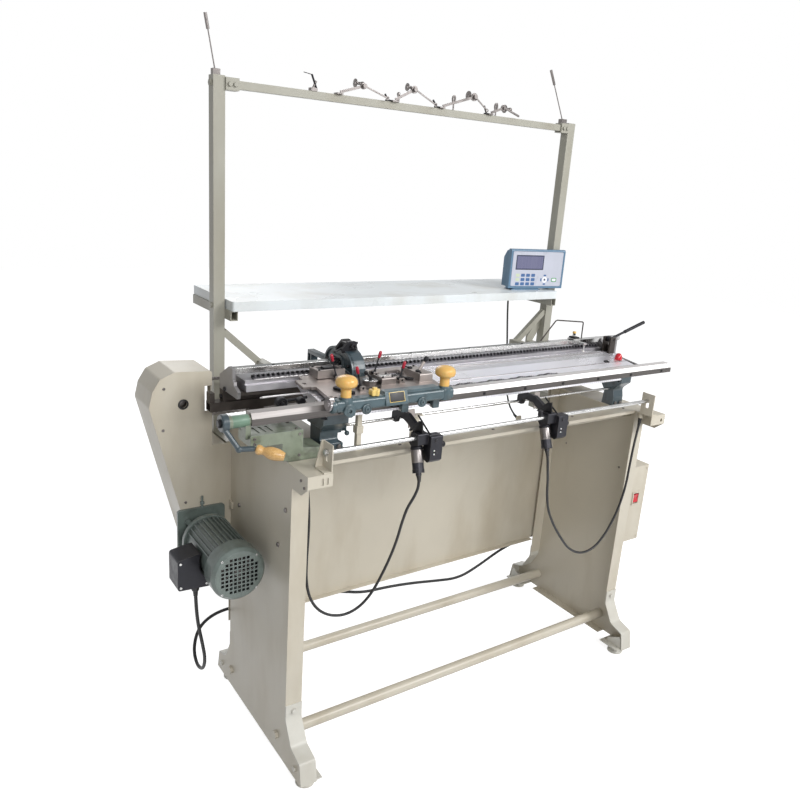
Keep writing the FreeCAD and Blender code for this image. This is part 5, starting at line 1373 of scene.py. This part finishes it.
class KNITTER_OT_feeder_parts(bpy.types.Operator):
    """Body, amber cap and eyelet of the yarn feeder and its stop"""
    bl_idname = "knitter.feeder_parts"
    bl_label = "Feeder parts"

    def execute(self, context):
        dark = bmesh.new()
        block(dark, 1093, 1115, 225.6, 252.4, 993.6, 999, 0.8)
        block(dark, 1086, 1090.4, 232, 246, 974, 992, 0.6)
        bar(dark, spot(1104, 240, 1003), spot(1104, 240, 1010), 4.4, 20)
        piece("feeder_block", dark, "black", "feeder", "ground_steel")
        cap = bmesh.new()
        lathe(cap, [(0, 0), (5.4, 0), (5.8, 1), (5.8, 4), (4.6, 6), (0, 6.6)],
              spot(1104, 240, 1009), (0, 0, 1), 24)
        piece("feeder_cap", cap, "knob", "feeder", "amber_plastic", 50)
        tip = bmesh.new()
        lathe(tip, [(0.9, 0), (3.2, 0), (3.9, 1.4), (3.9, 3.4), (3.0, 5), (0.9, 5)],
              spot(1104, 194, 958.2), (0, 0, 1), 20)
        piece("feeder_nozzle_tip", tip, "white", "feeder", "white_plastic", 50)
        return {"FINISHED"}


# ---- stage -------------------------------------------------------------------


def shadow_catcher():
    """Pale floor that the camera sees as white, with the machine's soft shadow."""
    material = bpy.data.materials.new("studio_floor")
    material.use_nodes = True
    tree = material.node_tree
    shader = tree.nodes["Principled BSDF"]
    # a swept concrete tint that varies over a metre
    cloud = add(tree, "ShaderNodeTexNoise", None, Scale=1.0, Detail=2.0)
    base = add(tree, "ShaderNodeMix", RGBA, i0=cloud, i6=(0.48, 0.48, 0.48, 1),
               i7=(0.52, 0.52, 0.52, 1))
    wire(tree, shader, Base_Color=base.outputs[2], Roughness=0.9)
    # where the camera or a shiny part looks at it, its light is raised to white
    paths = add(tree, "ShaderNodeLightPath")
    seen = add(tree, "ShaderNodeMath", {"operation": "MAXIMUM"},
               i0=paths.outputs["Is Camera Ray"], i1=paths.outputs["Is Glossy Ray"])
    share = add(tree, "ShaderNodeMath", TIMES, i0=seen, i1=0.82)
    glow = add(tree, "ShaderNodeEmission", None, Color=(1, 1, 1, 1), Strength=share)
    both = add(tree, "ShaderNodeAddShader", None, i0=shader, i1=glow)
    wire(tree, tree.nodes["Material Output"], Surface=both)
    return material


def lamp(name, place, aim, size, power, colour=(1, 1, 1)):
    data = bpy.data.lights.new(name, "AREA")
    data.shape = "DISK"
    data.size = size
    data.energy = power
    data.color = colour
    made = bpy.data.objects.new(name, data)
    made.location = place
    made.rotation_euler = (Vector(aim) - Vector(place)).to_track_quat("-Z", "Y").to_euler()
    bpy.context.scene.collection.objects.link(made)


class KNITTER_OT_stage(bpy.types.Operator):
    """Pale floor, soft studio light, white surroundings and the camera"""
    bl_idname = "knitter.stage"
    bl_label = "Stage"

    def execute(self, context):
        scene = context.scene
        ground = bmesh.new()
        slab(ground, [Vector((-9, -9, -0.02)), Vector((9, -9, -0.02)), Vector((9, 9, -0.02)),
                      Vector((-9, 9, -0.02))], Vector((0, 0, 0.02)))
        data = bpy.data.meshes.new("floor")
        ground.to_mesh(data)
        ground.free()
        data.materials.append(shadow_catcher())
        floor = bpy.data.objects.new("floor", data)
        scene.collection.objects.link(floor)

        lamp("key_light", (2.4, -3.6, 3.5), (0, 0, 0.8), 2.2, 150)
        lamp("fill_light", (-1.0, -4.3, 3.0), (-0.3, 0, 0.8), 2.4, 95)
        lamp("rim_light", (0.6, 3.4, 3.0), (0, 0, 1.0), 2.2, 35)

        world = bpy.data.worlds.new("studio")
        scene.world = world
        world.use_nodes = True
        tree = world.node_tree
        tree.nodes.clear()
        paths = add(tree, "ShaderNodeLightPath")
        # polished steel shows the white room, at three fifths because its walls stand far off
        shine = add(tree, "ShaderNodeMath", TIMES, i0=paths.outputs["Is Glossy Ray"], i1=0.6)
        seen = add(tree, "ShaderNodeMath", {"operation": "MAXIMUM"},
                   i0=paths.outputs["Is Camera Ray"], i1=shine)
        seen = add(tree, "ShaderNodeMath", {"operation": "MAXIMUM"}, i0=seen,
                   i1=paths.outputs["Is Transmission Ray"])
        soft = add(tree, "ShaderNodeBackground", None, Color=(0.97, 0.98, 1.0, 1), Strength=0.34)
        white = add(tree, "ShaderNodeBackground", None, Color=(1, 1, 1, 1), Strength=1.0)
        mix = add(tree, "ShaderNodeMixShader", None, i0=seen, i1=soft, i2=white)
        add(tree, "ShaderNodeOutputWorld", None, Surface=mix)

        # camera at the photograph's place: 1.45 m up, left of the machine and in front
        yaw, pitch, roll = 0.6101, 0.2848, -0.0702
        ahead = Vector((math.sin(yaw) * math.cos(pitch), math.cos(yaw) * math.cos(pitch),
                        -math.sin(pitch)))
        right = Vector((math.cos(yaw), -math.sin(yaw), 0))
        down = ahead.cross(right)
        turned_right = right * math.cos(roll) + down * math.sin(roll)
        turned_down = down * math.cos(roll) - right * math.sin(roll)
        data = bpy.data.cameras.new("camera")
        data.sensor_width = 36.0
        data.lens = 36.0 * 756.54 / 800.0
        camera = bpy.data.objects.new("camera", data)
        axes = Matrix((turned_right, -turned_down, -ahead)).transposed().to_4x4()
        camera.matrix_world = Matrix.Translation(spot(-707.87, -1408.5, 1446.02)) @ axes
        scene.collection.objects.link(camera)
        scene.camera = camera
        scene.view_settings.view_transform = "Standard"
        return {"FINISHED"}


# ---- panel, registration -----------------------------------------------------

STEPS = (KNITTER_OT_stage, KNITTER_OT_cords, KNITTER_OT_finishes, KNITTER_OT_hand_knobs,
         KNITTER_OT_star_knob, KNITTER_OT_crank_grip, KNITTER_OT_cam_levers,
         KNITTER_OT_carriage_parts, KNITTER_OT_bridge, KNITTER_OT_chain, KNITTER_OT_needles, KNITTER_OT_bed_parts,
         KNITTER_OT_tension_parts, KNITTER_OT_pad_parts, KNITTER_OT_rear_sheet,
         KNITTER_OT_stand_bolts,
         KNITTER_OT_racking_parts, KNITTER_OT_unit_parts, KNITTER_OT_motor_parts,
         KNITTER_OT_reliefs, KNITTER_OT_feeder_parts)


class KNITTER_PT_parts(bpy.types.Panel):
    """Lists the settings and the pieces of the knitting machine"""
    bl_idname = "KNITTER_PT_parts"
    bl_label = "Knitting machine"
    bl_space_type = "VIEW_3D"
    bl_region_type = "UI"
    bl_category = "Knitting"

    def draw(self, context):
        for group in (context.scene.knitter_sizes, context.scene.knitter_colours):
            column = self.layout.column()
            for name in group.bl_rna.properties.keys():
                if name not in ("rna_type", "name"):
                    column.prop(group, name)
        for step in STEPS:
            self.layout.operator(step.bl_idname)


CLASSES = (KnitterColours, KnitterSizes, *STEPS, KNITTER_PT_parts)


def register():
    for made in CLASSES:
        bpy.utils.register_class(made)
    bpy.types.Scene.knitter_colours = bpy.props.PointerProperty(type=KnitterColours)
    bpy.types.Scene.knitter_sizes = bpy.props.PointerProperty(type=KnitterSizes)


def unregister():
    del bpy.types.Scene.knitter_colours
    del bpy.types.Scene.knitter_sizes
    for made in reversed(CLASSES):
        bpy.utils.unregister_class(made)


def main():
    register()
    for step in STEPS:
        group, name = step.bl_idname.split(".")
        getattr(getattr(bpy.ops, group), name)()


if __name__ == "__main__":
    main()
